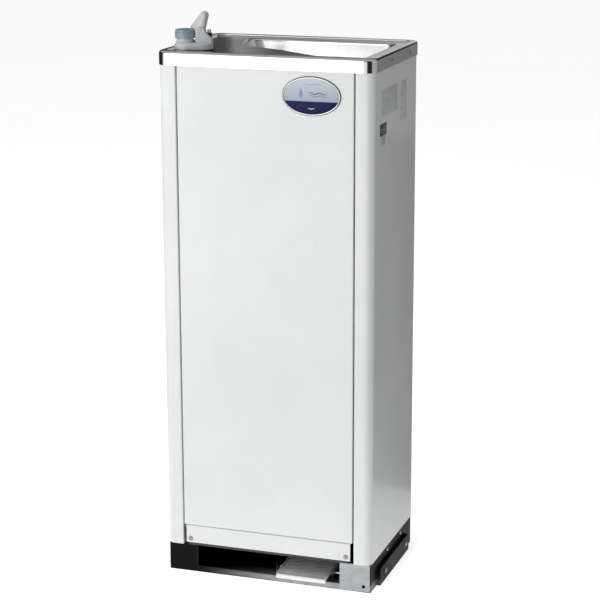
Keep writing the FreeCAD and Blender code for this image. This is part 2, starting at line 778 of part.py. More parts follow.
def onBubbler(item):
    base = "deckTop - rimRise + gasketThick"
    spin = FreeCAD.Rotation(Vector(0, 0, 1), num("bubblerTurn"))
    holder = doc.addObject("Part::Compound", item.Name + "Placed")
    holder.Links = [item]
    holder.Placement = FreeCAD.Placement(Vector(num("bubblerX"), num("bubblerY"), num(base)), spin)
    bind(holder, **{".Placement.Base.x": "bubblerX", ".Placement.Base.y": "bubblerY",
                    ".Placement.Base.z": base})
    return holder


def stadium(name, length, width, height, start, low=0, x="0"):
    body = newBody(name)
    corner = (f"{x} - {length} / 2", f"-{width} / 2")
    opposite = (f"{x} + {length} / 2", f"{width} / 2")
    pad(body, rectangle(body, "XY_Plane", corner, opposite, low), height)
    soften(body, f"{width} / 2 - {start}", upright)
    return body


def bubblerGasket():
    body = stadium("gasketSheet", "(bubblerLength + 3)", "(bubblerWidth + 3)", "gasketThick", 0.1,
                   low="-gasketThick")
    hole = rod("gasketHole", "shankRadius + 0.3", 10, (0, 0, "-gasketThick - 3"))
    return onBubbler(cut("gasket", body, [hole]))


def bubblerBody():
    foot = stadium("bubblerFoot", "bubblerLength", "bubblerWidth", 11.5, 0.1)
    soften(foot, 4, atHeight(11.5))
    neck = rod("bubblerNeck", "neckRadius", "neckTop", ("neckX", 0, 0))
    hump = stadium("bubblerHump", 26.4, 26, "humpTop", 0.4, x="16.6")
    soften(hump, 3, atHeight("humpTop"))
    bore = rod("stemBore", "3 + runningGap", 30, ("neckX", 0, 3))
    return onBubbler(cut("bubblerCasting", fuse("bubblerSolid", [foot, neck, hump]), [bore]))


def mouthGuard():
    """A blade that leans over the nozzle and keeps the lips off it."""
    body = newBody("guardBlade")
    corners = [
        (4, "humpTop"),
        (4, 31.5),
        (-3, 37.5),
        (13.5, "guardTop - 2.5"),
        (19.5, "guardTop"),
        (24.8, "guardTop - 5"),
        (19.4, 33),
        (18.6, "humpTop"),
    ]
    pad(body, outline(body, "XZ_Plane", corners), 16, middle=True)
    soften(body, 2.5, lambda e: isAlong((0, 1, 0), e) and e.BoundBox.ZMin > num("guardTop") - 8)
    soften(body, 4.5, lambda e: e.BoundBox.YMin > 7.9 and e.BoundBox.ZMax > num("humpTop") + 1
           or e.BoundBox.YMax < -7.9 and e.BoundBox.ZMax > num("humpTop") + 1)
    return onBubbler(body)


def nozzleCollar():
    ring = tube("collarRing", 4.6, 2.6, 5.5, ("nozzleX", 0, "humpTop"))
    return onBubbler(ring)


def nozzleTip():
    stem = rod("tipStem", 2.6, 9, ("nozzleX", 0, "humpTop"))
    head = rod("tipHead", 3.4, 2.6, ("nozzleX", 0, "humpTop + 7.6"))
    jet = rod("tipJet", 1.2, 20, ("nozzleX", 0, "humpTop + 1"))
    return onBubbler(cut("nozzleTurned", fuse("tipSolid", [stem, head]), [jet]))


def pushButton():
    """A crowned cap whose skirt slides over the neck."""
    body = newBody("buttonCap")
    height = "(buttonTop - buttonBottom)"
    pad(body, circles(body, "XY_Plane", [("neckX", 0)], "buttonRadius", "buttonBottom"), height)
    soften(body, 3.2, atHeight("buttonTop"))
    hollow = circles(body, "XY_Plane", [("neckX", 0)], "neckRadius + 0.35", "buttonBottom")
    pocket(body, hollow, 7, reverse=True)
    return onBubbler(body)


def buttonStem():
    return onBubbler(rod("stemRod", 3, 19.4, ("neckX", 0, 8)))


def bubblerShank():
    stem = rod("shankRod", "shankRadius", 38, (0, 0, -38))
    return onBubbler(cut("shankTurned", stem, [rod("shankBore", 3, 60, (0, 0, -50))]))


def bubblerLocknut():
    nut = doc.addObject("Part::Prism", "locknutPrism")
    nut.Polygon = 6
    bind(nut, Circumradius=18, Height=8)
    move(nut, (0, 0, "-gasketThick - deckGauge - 8.3"))
    bore = rod("locknutBore", "shankRadius", 20, (0, 0, -22))
    return onBubbler(cut("locknut", nut, [bore]))


# Badge and labels

def badgeRim():
    at = ("badgeX", f"-{halfDepth}", "badgeZ")
    plate = oval("rimPlate", "badgeHalfWidth", "badgeHalfHeight", 2.4, at)
    window = oval("rimWindow", "badgeHalfWidth - 2.2", "badgeHalfHeight - 2.2", 4,
                  ("badgeX", f"-{halfDepth} + 1", "badgeZ"))
    return cut("badgeRim", plate, [window])


def badgeFace():
    return oval("badgeFacePlate", "badgeHalfWidth - 2.3", "badgeHalfHeight - 2.3", 1.6,
                ("badgeX", f"-{halfDepth}", "badgeZ"))


def sideLabels():
    """Rating plate, notice strip and check label on the right side wall."""
    spots = ((-88, 782, 92, 43), (20, 761, 38, 64), (-94, 753, 37, 19))
    items = [box(f"label{index}", (0.3, width, height), (halfWidth, y, z))
             for index, (y, z, width, height) in enumerate(spots)]
    return group("sideLabelSet", items)


# Cooling unit

def compressor():
    body = newBody("compressorCan")
    pad(body, circles(body, "XY_Plane", [("compressorX", "compressorY")], "compressorRadius", 65), 125)
    soften(body, 20, atHeight(190))
    soften(body, 12, atHeight(65))
    seam = rod("canSeam", "compressorRadius + 2", 4, ("compressorX", "compressorY", 128))
    return fuse("compressorShell", [body, seam])


def feetSpots():
    return [(f"compressorX + {i} * 50", f"compressorY + {j} * 50") for i in (-1, 1) for j in (-1, 1)]


def compressorFeet():
    plate = box("feetPlate", (120, 120, 3), ("compressorX - 60", "compressorY - 60", 62))
    holes = [rod(f"feetHole{i}", 4, 8, spot + (60,)) for i, spot in enumerate(feetSpots())]
    return cut("compressorFeet", plate, holes)


def compressorGrommets():
    low = "baseHeight + 1.8"
    return group("grommetSet", [rod(f"grommet{i}", 10, f"62 - ({low})", spot + (low,))
                                for i, spot in enumerate(feetSpots())])


def terminalCover():
    shell = box("coverShell", (34, 16, 40), ("compressorX - 17", "compressorY - compressorRadius - 14", 92))
    can = rod("coverRelief", "compressorRadius + 2.3", 60, ("compressorX", "compressorY", 80))
    return cut("terminalCover", shell, [can])


def condenser():
    """A fin pack: a slab split into thin plates by slots."""
    body = newBody("finPack")
    pad(body, rectangle(body, "XY_Plane", (-150, 92), (0, 122), 70), 190)
    slot = rectangle(body, "XY_Plane", (-146, 90), (-142.5, 124), 76)
    cutter = pocket(body, slot, 178, reverse=True)
    pattern = body.newObject("PartDesign::LinearPattern", "finRows")
    pattern.Originals = [cutter]
    pattern.Direction = (slot, ["H_Axis"])
    pattern.Length = 138
    pattern.Occurrences = 24
    body.Tip = pattern
    return body


def fanShroud():
    """A plate round the blades, with three struts that hold the motor."""
    plate = box("shroudPlate", (150, 1.5, 190), (-150, 90, 70))
    ring = tube("shroudRing", 65, 62.5, 15, ("fanX", 75.5, "fanZ"), (0, 1, 0))
    mouth = rod("shroudMouth", 63.5, 8, ("fanX", 86, "fanZ"), (0, 1, 0))
    holder = rod("motorSeat", 24, 4, ("fanX", 60.5, "fanZ"), (0, 1, 0))
    struts = []
    for index in range(3):
        spoke = FreeCAD.Placement(Vector(num("fanX"), 60, num("fanZ")),
                                  FreeCAD.Rotation(Vector(0, 1, 0), 90 + index * 120))
        arm = spoke.multiply(FreeCAD.Placement(Vector(12, 0, -4), FreeCAD.Rotation()))
        post = spoke.multiply(FreeCAD.Placement(Vector(63.5, 1, -4.5), FreeCAD.Rotation()))
        struts.append(slab(f"strut{index}", (54, 3, 8), arm))
        struts.append(slab(f"post{index}", (5, 30, 9), post))
    solid = fuse("shroudSolid", [cut("shroudOpen", plate, [mouth]), ring, holder] + struts)
    bore = rod("motorSeatBore", 5, 20, ("fanX", 55, "fanZ"), (0, 1, 0))
    return cut("fanShroud", solid, [bore])


def fanMotor():
    can = rod("motorCan", 27, 32, ("fanX", 27.8, "fanZ"), (0, 1, 0))
    spindle = rod("motorSpindle", 2.5, 18, ("fanX", 59, "fanZ"), (0, 1, 0))
    return fuse("fanMotor", [can, spindle])


def fanBlade():
    hub = rod("bladeHub", 15, 12, ("fanX", 68, "fanZ"), (0, 1, 0))
    blades = []
    for index in range(4):
        turn = FreeCAD.Placement(Vector(num("fanX"), 74, num("fanZ")),
                                 FreeCAD.Rotation(Vector(0, 1, 0), index * 90 + 20))
        tilt = FreeCAD.Placement(Vector(12, 0, 0), FreeCAD.Rotation(Vector(1, 0, 0), 22))
        spot = turn.multiply(tilt).multiply(FreeCAD.Placement(Vector(0, -0.6, -14), FreeCAD.Rotation()))
        blades.append(slab(f"blade{index}", (42, 1.2, 28), spot))
    bore = rod("hubBore", "2.5 + runningGap", 40, ("fanX", 55, "fanZ"), (0, 1, 0))
    return cut("fanBlade", fuse("bladeSet", [hub] + blades), [bore])


def coolingTank():
    body = newBody("tankCan")
    pad(body, circles(body, "XY_Plane", [("tankX", "tankY")], "tankRadius", "tankBottom"), "tankHeight")
    soften(body, 14, lambda e: atHeight("tankBottom")(e) or atHeight("tankBottom + tankHeight")(e))
    return body


def evaporatorCoil():
    rings = []
    for index in range(12):
        ring = doc.addObject("Part::Torus", f"coilRing{index}")
        bind(ring, Radius1="tankRadius + 3.6", Radius2=3.2)
        rings.append(move(ring, ("tankX", "tankY", f"tankBottom + 24 + {index} * 15")))
    return group("evaporatorCoil", rings)


def tankInsulation():
    """Moulded foam that wraps the tank and its coil."""
    size = ("2 * foamHalf", "2 * foamHalf", "foamTop - foamBottom")
    block = box("foamBlock", size, ("tankX - foamHalf", "tankY - foamHalf", "foamBottom"))
    cavity = rod("foamCavity", "tankRadius + 8", "tankHeight + 2",
                 ("tankX", "tankY", "tankBottom - 1"))
    low = rod("foamInlet", 6, 60, ("tankX", "tankY", "foamBottom - 5"))
    high = rod("foamOutlet", 6, 60, ("tankX", "tankY", "foamTop - 40"))
    return cut("tankInsulation", block, [cavity, low, high])


def tankShelf():
    body = newBody("shelfChannel")
    span = f"({halfWidth} - gauge - 0.4)"
    corners = [
        (f"-{span}", 512), (f"-{span} + 1.6", 512), (f"-{span} + 1.6", "foamBottom - 1.6"),
        (f"{span} - 1.6", "foamBottom - 1.6"), (f"{span} - 1.6", 512), (span, 512),
        (span, "foamBottom"), (f"-{span}", "foamBottom"),
    ]
    pad(body, outline(body, "XZ_Plane", corners), 150, middle=True)
    tools = [
        rod("shelfInletHole", 8, 20, ("tankX", "tankY", "foamBottom - 10")),
        rod("shelfSuctionHole", 6, 20, (100, 15, "foamBottom - 10")),
    ]
    return cut("tankShelf", body, tools)


def filterDrier():
    can = rod("drierCan", 9, 76, (30, 98, 112))
    ends = [cone("drierLow", 3, 9, 12, (30, 98, 100)), cone("drierHigh", 9, 2.5, 12, (30, 98, 188))]
    return fuse("filterDrier", [can] + ends)


def refrigerantPipes():
    discharge = [
        ("compressorX", "compressorY + compressorRadius + 0.1", 150),
        ("compressorX", 114, 150),
        ("compressorX", 114, 240),
        (0.1, 114, 240),
    ]
    liquid = [(0.1, 98, 85), (30, 98, 85), (30, 98, 100)]
    capillary = [(30, 98, 200.1), (30, 98, 600), (30, "tankY + foamHalf + 0.1", 600)]
    suction = [("tankX + foamHalf + 0.1", 15, 575), (100, 15, 575), (100, 15, 190.1)]
    return pipes("refrigerantPipes", [
        (discharge, 3.2, 14), (liquid, 2.5, 9), (capillary, 1.5, 5), (suction, 4, 10),
    ])


def supplyPipes():
    shankLow = "deckTop - rimRise + gasketThick - 38.1"
    fromInlet = [
        ("inletX", 105.9, "inletZ"), ("inletX", "valveY", "inletZ"), ("inletX", "valveY", 78),
        ("valveX - 17.1", "valveY", 78),
    ]
    toTank = [
        ("valveX", "valveY", 98.1), ("valveX", "valveY", 480), ("tankX", "tankY", 480),
        ("tankX", "tankY", "tankBottom - 0.1"),
    ]
    toBubbler = [
        ("tankX", "tankY", "tankBottom + tankHeight + 0.1"), ("tankX", "tankY", 819.5),
        ("bubblerX", "bubblerY", 819.5), ("bubblerX", "bubblerY", shankLow),
    ]
    return pipes("supplyPipes", [(fromInlet, 5, 18), (toTank, 5, 18), (toBubbler, 4, 10)])


def inletFitting():
    """Threaded stub for the water supply, clamped in the rear panel."""
    at = ("inletX", f"{halfDepth} - 1.3", "inletZ")
    stub = rod("inletStub", 10.5, 22, at, (0, 1, 0))
    inner = rod("inletInner", 9, 22.7, ("inletX", 106, "inletZ"), (0, 1, 0))
    nut = doc.addObject("Part::Prism", "inletNut")
    nut.Polygon = 6
    bind(nut, Circumradius=16, Height=7)
    move(nut, ("inletX", f"{halfDepth} - 9.8", "inletZ"), (0, 1, 0))
    bore = rod("inletBore", 6.5, 40, ("inletX", 120, "inletZ"), (0, 1, 0))
    return cut("inletFitting", fuse("inletSolid", [stub, inner, nut]), [bore])


def thermostatBody():
    case = box("thermostatCase", (34, 26, 40), (-77, 101, 540))
    bore = rod("thermostatBore", "3 + runningGap", 16, (-60, 112, 560), (0, 1, 0))
    return cut("thermostatBody", case, [bore])


def thermostatKnob():
    grip = rod("knobGrip", 14, 11, (-60, f"{halfDepth} - 0.6", 560), (0, 1, 0))
    shaft = rod("knobShaft", 3, 20, (-60, 114, 560), (0, 1, 0))
    pointer = box("knobPointer", (3, 3, 12), (-61.5, f"{halfDepth} + 9.4", 561))
    return fuse("thermostatKnob", [grip, shaft, pointer])


def terminalBox():
    return box("terminalCase", (60, 30, 70), (-80, 95, 330))


def cordGland():
    flange = rod("glandFlange", 12, 3, ("glandX", f"{halfDepth} - 1.2", "glandZ"), (0, 1, 0))
    barrel = rod("glandBarrel", 8, 14, ("glandX", f"{halfDepth} - 14", "glandZ"), (0, 1, 0))
    nose = cone("glandNose", 9, 6.5, 10, ("glandX", f"{halfDepth} + 1.8", "glandZ"), (0, 1, 0))
    bore = rod("glandBore", 4, 60, ("glandX", 100, "glandZ"), (0, 1, 0))
    return cut("cordGland", fuse("glandSolid", [flange, barrel, nose]), [bore])


keep("base_frame", baseFrame())
keep("side_foot_left", sideFoot("sideFootLeft", -1))
keep("side_foot_right", sideFoot("sideFootRight", 1))
keep("side_foot_screws", footScrews())
keep("pedal_bracket_right", pedalBracketRight())
keep("pedal_bracket_left", pedalBracketLeft())
keep("pedal_rod", pedalRod())
keep("foot_pedal", footPedal())
keep("pedal_spring", pedalSpring())
keep("pedal_valve_body", pedalValveBody())
keep("pedal_valve_plunger", pedalValvePlunger())
keep("side_panel_left", sidePanel("sidePanelLeft", -1))
keep("side_panel_right", sidePanel("sidePanelRight", 1))
keep("front_panel", frontPanel())
keep("kick_panel", kickPanel())
keep("kick_screws", screws("kickScrewSet", kickScrewSpots, (0, -1, 0), 5))
keep("rear_panel", rearPanel())
keep("rear_screws", group("rearScrewSet", [
    screws("rearScrewsLeft", rearScrewSpots[-1], (0, 1, 0), 5),
    screws("rearScrewsRight", rearScrewSpots[1], (0, 1, 0), 5),
]))
keep("chassis_shelf", chassisShelf())
keep("deck", deck())
keep("deck_screws", deckScrews())
keep("drain_strainer", drainStrainer())
keep("drain_cup", drainCup())
keep("drain_pipe", drainPipe())
keep("drain_outlet", drainOutlet())
keep("bubbler_gasket", bubblerGasket())
keep("bubbler_body", bubblerBody())
keep("mouth_guard", mouthGuard())
keep("nozzle_collar", nozzleCollar())
keep("nozzle_tip", nozzleTip())
keep("push_button", pushButton())
keep("button_stem", buttonStem())
keep("bubbler_shank", bubblerShank())
keep("bubbler_locknut", bubblerLocknut())
keep("badge_rim", badgeRim())
keep("badge_face", badgeFace())
keep("side_labels", sideLabels())
keep("compressor", compressor())
keep("compressor_feet", compressorFeet())
keep("compressor_grommets", compressorGrommets())
keep("terminal_cover", terminalCover())
keep("condenser", condenser())
keep("fan_shroud", fanShroud())
keep("fan_motor", fanMotor())
keep("fan_blade", fanBlade())
keep("cooling_tank", coolingTank())
keep("evaporator_coil", evaporatorCoil())
keep("tank_insulation", tankInsulation())
keep("tank_shelf", tankShelf())
keep("filter_drier", filterDrier())
keep("refrigerant_pipes", refrigerantPipes())
keep("supply_pipes", supplyPipes())
keep("inlet_fitting", inletFitting())
keep("thermostat_body", thermostatBody())
keep("thermostat_knob", thermostatKnob())
keep("terminal_box", terminalBox())
keep("cord_gland", cordGland())

doc.recompute()
for item in doc.Objects:
    if "Invalid" in item.State or "Error" in item.State:
        raise RuntimeError(f"{item.Name} failed: {item.State}")
for item in nodes:
    if item.Shape.isNull() or not item.Shape.isValid() or not item.Shape.Solids:
        raise RuntimeError(f"{item.Label} has no valid solid")

os.makedirs("parts", exist_ok=True)
for item in nodes:
    item.Shape.exportStep(f"parts/{item.Label}.step")
    print(item.Label, len(item.Shape.Solids), round(item.Shape.Volume / 1000, 2))
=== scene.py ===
import math

import bmesh
import bpy
import numpy as np
from mathutils import Matrix, Vector


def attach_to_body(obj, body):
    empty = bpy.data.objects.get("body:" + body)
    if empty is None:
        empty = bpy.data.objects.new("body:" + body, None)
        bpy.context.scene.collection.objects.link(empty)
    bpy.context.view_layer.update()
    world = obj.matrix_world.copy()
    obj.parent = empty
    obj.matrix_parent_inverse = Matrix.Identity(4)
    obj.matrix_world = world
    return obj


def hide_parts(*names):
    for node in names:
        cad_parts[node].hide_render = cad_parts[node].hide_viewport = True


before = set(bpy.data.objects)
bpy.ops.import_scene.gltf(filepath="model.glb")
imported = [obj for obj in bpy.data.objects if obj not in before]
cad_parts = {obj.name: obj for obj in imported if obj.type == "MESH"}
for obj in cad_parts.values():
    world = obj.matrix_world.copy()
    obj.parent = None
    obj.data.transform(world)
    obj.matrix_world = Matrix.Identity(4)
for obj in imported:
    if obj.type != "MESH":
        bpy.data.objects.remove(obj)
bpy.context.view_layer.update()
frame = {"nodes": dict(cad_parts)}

# Drinking fountain: the looks. Lengths are in millimetres until a mesh is made.
mm = 0.001
scene = bpy.context.scene
nodes = frame["nodes"]


# Shader helpers

def linear(hexColour):
    values = [int(hexColour[i:i + 2], 16) / 255 for i in (1, 3, 5)]
    return tuple(v / 12.92 if v <= 0.04045 else ((v + 0.055) / 1.055) ** 2.4 for v in values) + (1.0,)


def addNode(tree, kind, inputs=None, stops=None, **settings):
    # one node with its settings, and a link or a value for each named input
    node = tree.nodes.new("ShaderNode" + kind)
    for name, value in settings.items():
        setattr(node, name, value)
    for index, (position, colour) in enumerate(stops or []):
        elements = node.color_ramp.elements
        element = elements[0] if index == 0 else elements[-1] if index == 1 else elements.new(position)
        element.position = position
        element.color = colour if isinstance(colour, tuple) else (colour, colour, colour, 1)
    for name, value in (inputs or {}).items():
        if isinstance(value, bpy.types.NodeSocket):
            tree.links.new(value, node.inputs[name])
        else:
            node.inputs[name].default_value = value
    return node


def surface(name, look):
    # a finish: two tones that drift, a grain that can run along one axis, broad waves, edge wear, and a
    # painted sheen near one spot
    material = bpy.data.materials.new(name)
    material.use_nodes = True
    tree = material.node_tree
    shader = tree.nodes["Principled BSDF"]
    shader.inputs["Metallic"].default_value = look.get("metallic", 0)
    if not look.get("metallic", 0):
        shader.inputs["IOR"].default_value = look.get("ior", 1.5)
    if "specular" in look:
        shader.inputs["Specular IOR Level"].default_value = look["specular"]
    coat = look.get("coat")
    if coat:
        shader.inputs["Coat Weight"].default_value = coat[0]
        shader.inputs["Coat Roughness"].default_value = coat[1]
    place = addNode(tree, "TexCoord").outputs["Object"]

    drift = addNode(tree, "TexNoise", {"Vector": place, "Scale": 1000 / look["toneSize"],
                                       "Detail": 5.0, "Roughness": 0.6}).outputs["Fac"]
    tone = addNode(tree, "ValToRGB", {"Fac": drift}, stops=[
        (0.32, linear(look["tones"][0])), (0.68, linear(look["tones"][1]))]).outputs["Color"]

    stretch = tuple(1000 / size for size in look["grain"])
    along = addNode(tree, "Mapping", {"Vector": place, "Scale": stretch}).outputs["Vector"]
    grain = addNode(tree, "TexNoise", {"Vector": along, "Scale": 1.0, "Detail": 3.0,
                                       "Roughness": 0.55}).outputs["Fac"]
    shade = addNode(tree, "MapRange", {"Value": grain, "From Min": 0.25, "From Max": 0.75,
                                       "To Min": 1 - look.get("grainTone", 0.03),
                                       "To Max": 1.0}).outputs["Result"]
    tone = addNode(tree, "VectorMath", {0: tone, "Scale": shade}, operation="SCALE").outputs[0]

    low, high = look["roughness"]
    patch = addNode(tree, "TexNoise", {"Vector": place, "Scale": 1000 / look.get("patchSize", 35),
                                       "Detail": 6.0, "Roughness": 0.65}).outputs["Fac"]
    mixed = addNode(tree, "Math", {0: patch, 1: grain}, operation="ADD").outputs[0]
    rough = addNode(tree, "MapRange", {"Value": mixed, "From Min": 0.7, "From Max": 1.3,
                                       "To Min": low, "To Max": high}).outputs["Result"]

    if "paintedSheen" in look:
        # painted sheen: a lighter grey near a spot, broken up by a second noise, standing in for light
        # reflected off the pan
        paintedSheen = look["paintedSheen"]
        spot = addNode(tree, "VectorMath", {0: place, 1: tuple(v * mm for v in paintedSheen["spot"])},
                       operation="SUBTRACT").outputs[0]
        spot = addNode(tree, "VectorMath", {0: spot, 1: tuple(1000 / v for v in paintedSheen["reach"])},
                       operation="MULTIPLY").outputs[0]
        away = addNode(tree, "VectorMath", {0: spot}, operation="LENGTH").outputs["Value"]
        near = addNode(tree, "MapRange", {"Value": away, "From Min": 0.15, "From Max": 1.0,
                                          "To Min": 1.0, "To Max": 0.0},
                       interpolation_type="SMOOTHSTEP").outputs["Result"]
        streak = addNode(tree, "Mapping", {"Vector": place, "Scale": (28, 130, 130),
                                           "Rotation": (0, 0, 0.3)}).outputs["Vector"]
        sheenBreakup = addNode(tree, "TexNoise", {"Vector": streak, "Scale": 1.0, "Detail": 7.0,
                                            "Roughness": 0.62}).outputs["Fac"]
        sheenBreakup = addNode(tree, "MapRange", {"Value": sheenBreakup, "From Min": 0.25, "From Max": 0.62,
                                            "To Min": 0.5}).outputs["Result"]
        amount = addNode(tree, "Math", {0: near, 1: sheenBreakup}, operation="MULTIPLY").outputs[0]
        tone = addNode(tree, "MixRGB", {"Fac": amount, "Color1": tone,
                                        "Color2": linear(paintedSheen["tone"])}).outputs["Color"]
    if "edge" in look:
        # edges where the coat has thinned: the rounded normal parts from the true one there
        rounded = addNode(tree, "Bevel", {"Radius": 0.9 * mm}, samples=4).outputs["Normal"]
        plain = addNode(tree, "NewGeometry").outputs["Normal"]
        same = addNode(tree, "VectorMath", {0: rounded, 1: plain}, operation="DOT_PRODUCT").outputs["Value"]
        thin = addNode(tree, "MapRange", {"Value": same, "From Min": 0.985, "From Max": 0.86,
                                          "To Min": 0.0, "To Max": 0.55}).outputs["Result"]
        thin = addNode(tree, "Math", {0: thin, 1: patch}, operation="MULTIPLY").outputs[0]
        tone = addNode(tree, "MixRGB", {"Fac": thin, "Color1": tone,
                                        "Color2": linear(look["edge"])}).outputs["Color"]
    if "cells" in look:
        # crystal flakes or foam cells
        size, strength = look["cells"]
        flakes = addNode(tree, "TexVoronoi", {"Vector": place, "Scale": 1000 / size,
                                              "Randomness": 1.0})
        flake = addNode(tree, "SeparateColor", {"Color": flakes.outputs["Color"]}).outputs[0]
        glint = addNode(tree, "MapRange", {"Value": flake, "To Min": 1 - strength}).outputs["Result"]
        tone = addNode(tree, "VectorMath", {0: tone, "Scale": glint}, operation="SCALE").outputs[0]
        spread = addNode(tree, "Math", {0: flake, 1: 0.12}, operation="MULTIPLY").outputs[0]
        rough = addNode(tree, "Math", {0: rough, 1: spread}, operation="ADD").outputs[0]

    wave = look.get("wave", (90, 0.03))
    swell = addNode(tree, "TexNoise", {"Vector": place, "Scale": 1000 / wave[0], "Detail": 1.0,
                                       "Roughness": 0.4}).outputs["Fac"]
    swell = addNode(tree, "Bump", {"Height": swell, "Distance": wave[1] * mm, "Strength": 1.0})
    bump = addNode(tree, "Bump", {"Height": grain, "Distance": look["grainDepth"] * mm, "Strength": 1.0,
                                  "Normal": swell.outputs["Normal"]})
    if "lines" in look:
        # shallow die lines or machining marks along one axis
        axis, pitch, depth = look["lines"]
        lines = addNode(tree, "TexWave", {"Vector": place, "Scale": 1000 / pitch * math.pi / 20,
                                          "Distortion": 0.6, "Detail": 2.0, "Detail Scale": 3.0},
                        bands_direction=axis).outputs["Fac"]
        bump = addNode(tree, "Bump", {"Height": lines, "Distance": depth * mm, "Strength": 1.0,
                                      "Normal": bump.outputs["Normal"]})
    links = tree.links
    links.new(tone, shader.inputs["Base Color"])
    links.new(rough, shader.inputs["Roughness"])
    links.new(bump.outputs["Normal"], shader.inputs["Normal"])
    return material


# Each look starts from the real finish. Sizes are real ones; a grain too fine to show is drawn coarser.
looks = {
    # baked white enamel on steel: a tight satin sheen with a faint orange peel and slack in the sheet
    "bakedEnamel": dict(tones=("#D7D9DA", "#E2E3E3"), toneSize=260, roughness=(0.27, 0.36), ior=1.5,
                        grain=(2.2, 2.2, 2.2), grainDepth=0.010, grainTone=0.012, wave=(170, 0.22),
                        coat=(0.2, 0.12), patchSize=60),
    # stainless sheet, fine hairline: bright, reflections drawn out along the grain (0.1 mm, drawn 0.4)
    "hairlineStainless": dict(tones=("#DEDFE0", "#ECECED"), toneSize=90, metallic=1, roughness=(0.13, 0.22),
                              grain=(26, 0.4, 0.4), grainDepth=0.0035, grainTone=0.06, wave=(60, 0.05)),
    # satin black powder coat, with a grey painted sheen on the tray beside the pedal where light reflects
    "powderCoatPaintedSheen": dict(tones=("#040405", "#0A0A0B"), toneSize=40, roughness=(0.45, 0.6),
                              specular=0.1, grain=(0.9, 0.9, 0.9), grainDepth=0.02, grainTone=0.2,
                              edge="#8E9092",
                              paintedSheen=dict(spot=(72, -120, 5), reach=(200, 60, 15), tone="#B4B6B7")),
    # bright zinc plate: cool, slightly cloudy, soft sheen
    "zincPlate": dict(tones=("#A0A3A5", "#B5B7B9"), toneSize=14, metallic=1, roughness=(0.3, 0.45),
                      grain=(0.8, 0.8, 6), grainDepth=0.006, grainTone=0.08, cells=(2.2, 0.07)),
    # extruded aluminium, thinly anodised, worn pale by feet: die lines along the ribs, cloudy dulling
    "extrudedAluminium": dict(tones=("#E4E6E8", "#F6F7F8"), toneSize=22, metallic=0.45,
                              roughness=(0.45, 0.62), grain=(22, 0.5, 0.5), grainDepth=0.012,
                              grainTone=0.12, patchSize=9),
    # polished chrome plate on brass: mirror bright with a little smudging
    "chromePlate": dict(tones=("#D2D3D6", "#E0E1E3"), toneSize=30, metallic=1, roughness=(0.05, 0.12),
                        grain=(3, 3, 3), grainDepth=0.001, grainTone=0.02, patchSize=6),
    # moulded ABS, mid grey: fine spark texture (0.2 mm, drawn 0.5) with low gloss
    "mouldedGreyAbs": dict(tones=("#BCBEC0", "#CACCCE"), toneSize=30, roughness=(0.24, 0.36), ior=1.6,
                           grain=(0.5, 0.5, 0.5), grainDepth=0.012, grainTone=0.05, wave=(14, 0.03),
                           patchSize=12),
    # moulded ABS, blue grey: a smoother, glossier cap
    "mouldedBlueAbs": dict(tones=("#7F90A2", "#8E9EAF"), toneSize=26, roughness=(0.2, 0.32), ior=1.53,
                           grain=(0.6, 0.6, 0.6), grainDepth=0.006, grainTone=0.04, wave=(12, 0.02),
                           patchSize=8),
    # glass filled nylon, black: dull with a faint sparkle
    "blackNylon": dict(tones=("#0E0E0F", "#19191A"), toneSize=20, roughness=(0.32, 0.46), ior=1.53,
                       grain=(0.6, 0.6, 0.6), grainDepth=0.012, grainTone=0.2, patchSize=8),
    # moulded rubber: matt black with a dusty bloom
    "mouldedRubber": dict(tones=("#0D0D0D", "#1E1E1D"), toneSize=9, roughness=(0.6, 0.8), ior=1.52,
                          grain=(0.7, 0.7, 0.7), grainDepth=0.03, grainTone=0.25),
    # drawn copper tube: warm, tarnished in patches
    "drawnCopper": dict(tones=("#8F5238", "#C8825E"), toneSize=12, metallic=1, roughness=(0.22, 0.45),
                        grain=(0.6, 0.6, 6), grainDepth=0.004, grainTone=0.1, patchSize=7),
    # turned brass: yellow, fine rings from the tool
    "turnedBrass": dict(tones=("#B08D4E", "#CFAE6B"), toneSize=10, metallic=1, roughness=(0.2, 0.34),
                        grain=(0.8, 0.8, 0.8), grainDepth=0.004, grainTone=0.06, lines=("Y", 0.5, 0.01)),
    # moulded polyurethane foam: cream skin with small open cells
    "mouldedFoam": dict(tones=("#CFC6A8", "#E2DAC0"), toneSize=30, roughness=(0.75, 0.9), ior=1.45,
                        grain=(1.6, 1.6, 1.6), grainDepth=0.25, grainTone=0.1, cells=(2.0, 0.12)),
    # hot dip galvanised sheet: grey zinc crystals about 9 mm across
    "galvanisedSheet": dict(tones=("#8B9092", "#A7ABAD"), toneSize=40, metallic=1, roughness=(0.36, 0.5),
                            grain=(1.2, 1.2, 1.2), grainDepth=0.006, grainTone=0.05, cells=(9, 0.16)),
    # black stove enamel over a pressed can: deep gloss, small runs
    "stoveEnamel": dict(tones=("#0B0B0C", "#141415"), toneSize=50, roughness=(0.18, 0.3), ior=1.5,
                        grain=(3, 3, 3), grainDepth=0.02, grainTone=0.1, coat=(0.4, 0.08)),
    # grey PVC pipe: smooth, slightly milky
    "greyPvc": dict(tones=("#7E8285", "#8C9093"), toneSize=25, roughness=(0.3, 0.42), ior=1.54,
                    grain=(0.6, 5, 5), grainDepth=0.006, grainTone=0.04),
}
materials = {name: surface(name, look) for name, look in looks.items()}
print("finishes:", len(materials))


# Mesh helpers

def turned(vector, angle):
    return Vector((vector.x * math.cos(angle) - vector.y * math.sin(angle),
                   vector.x * math.sin(angle) + vector.y * math.cos(angle)))


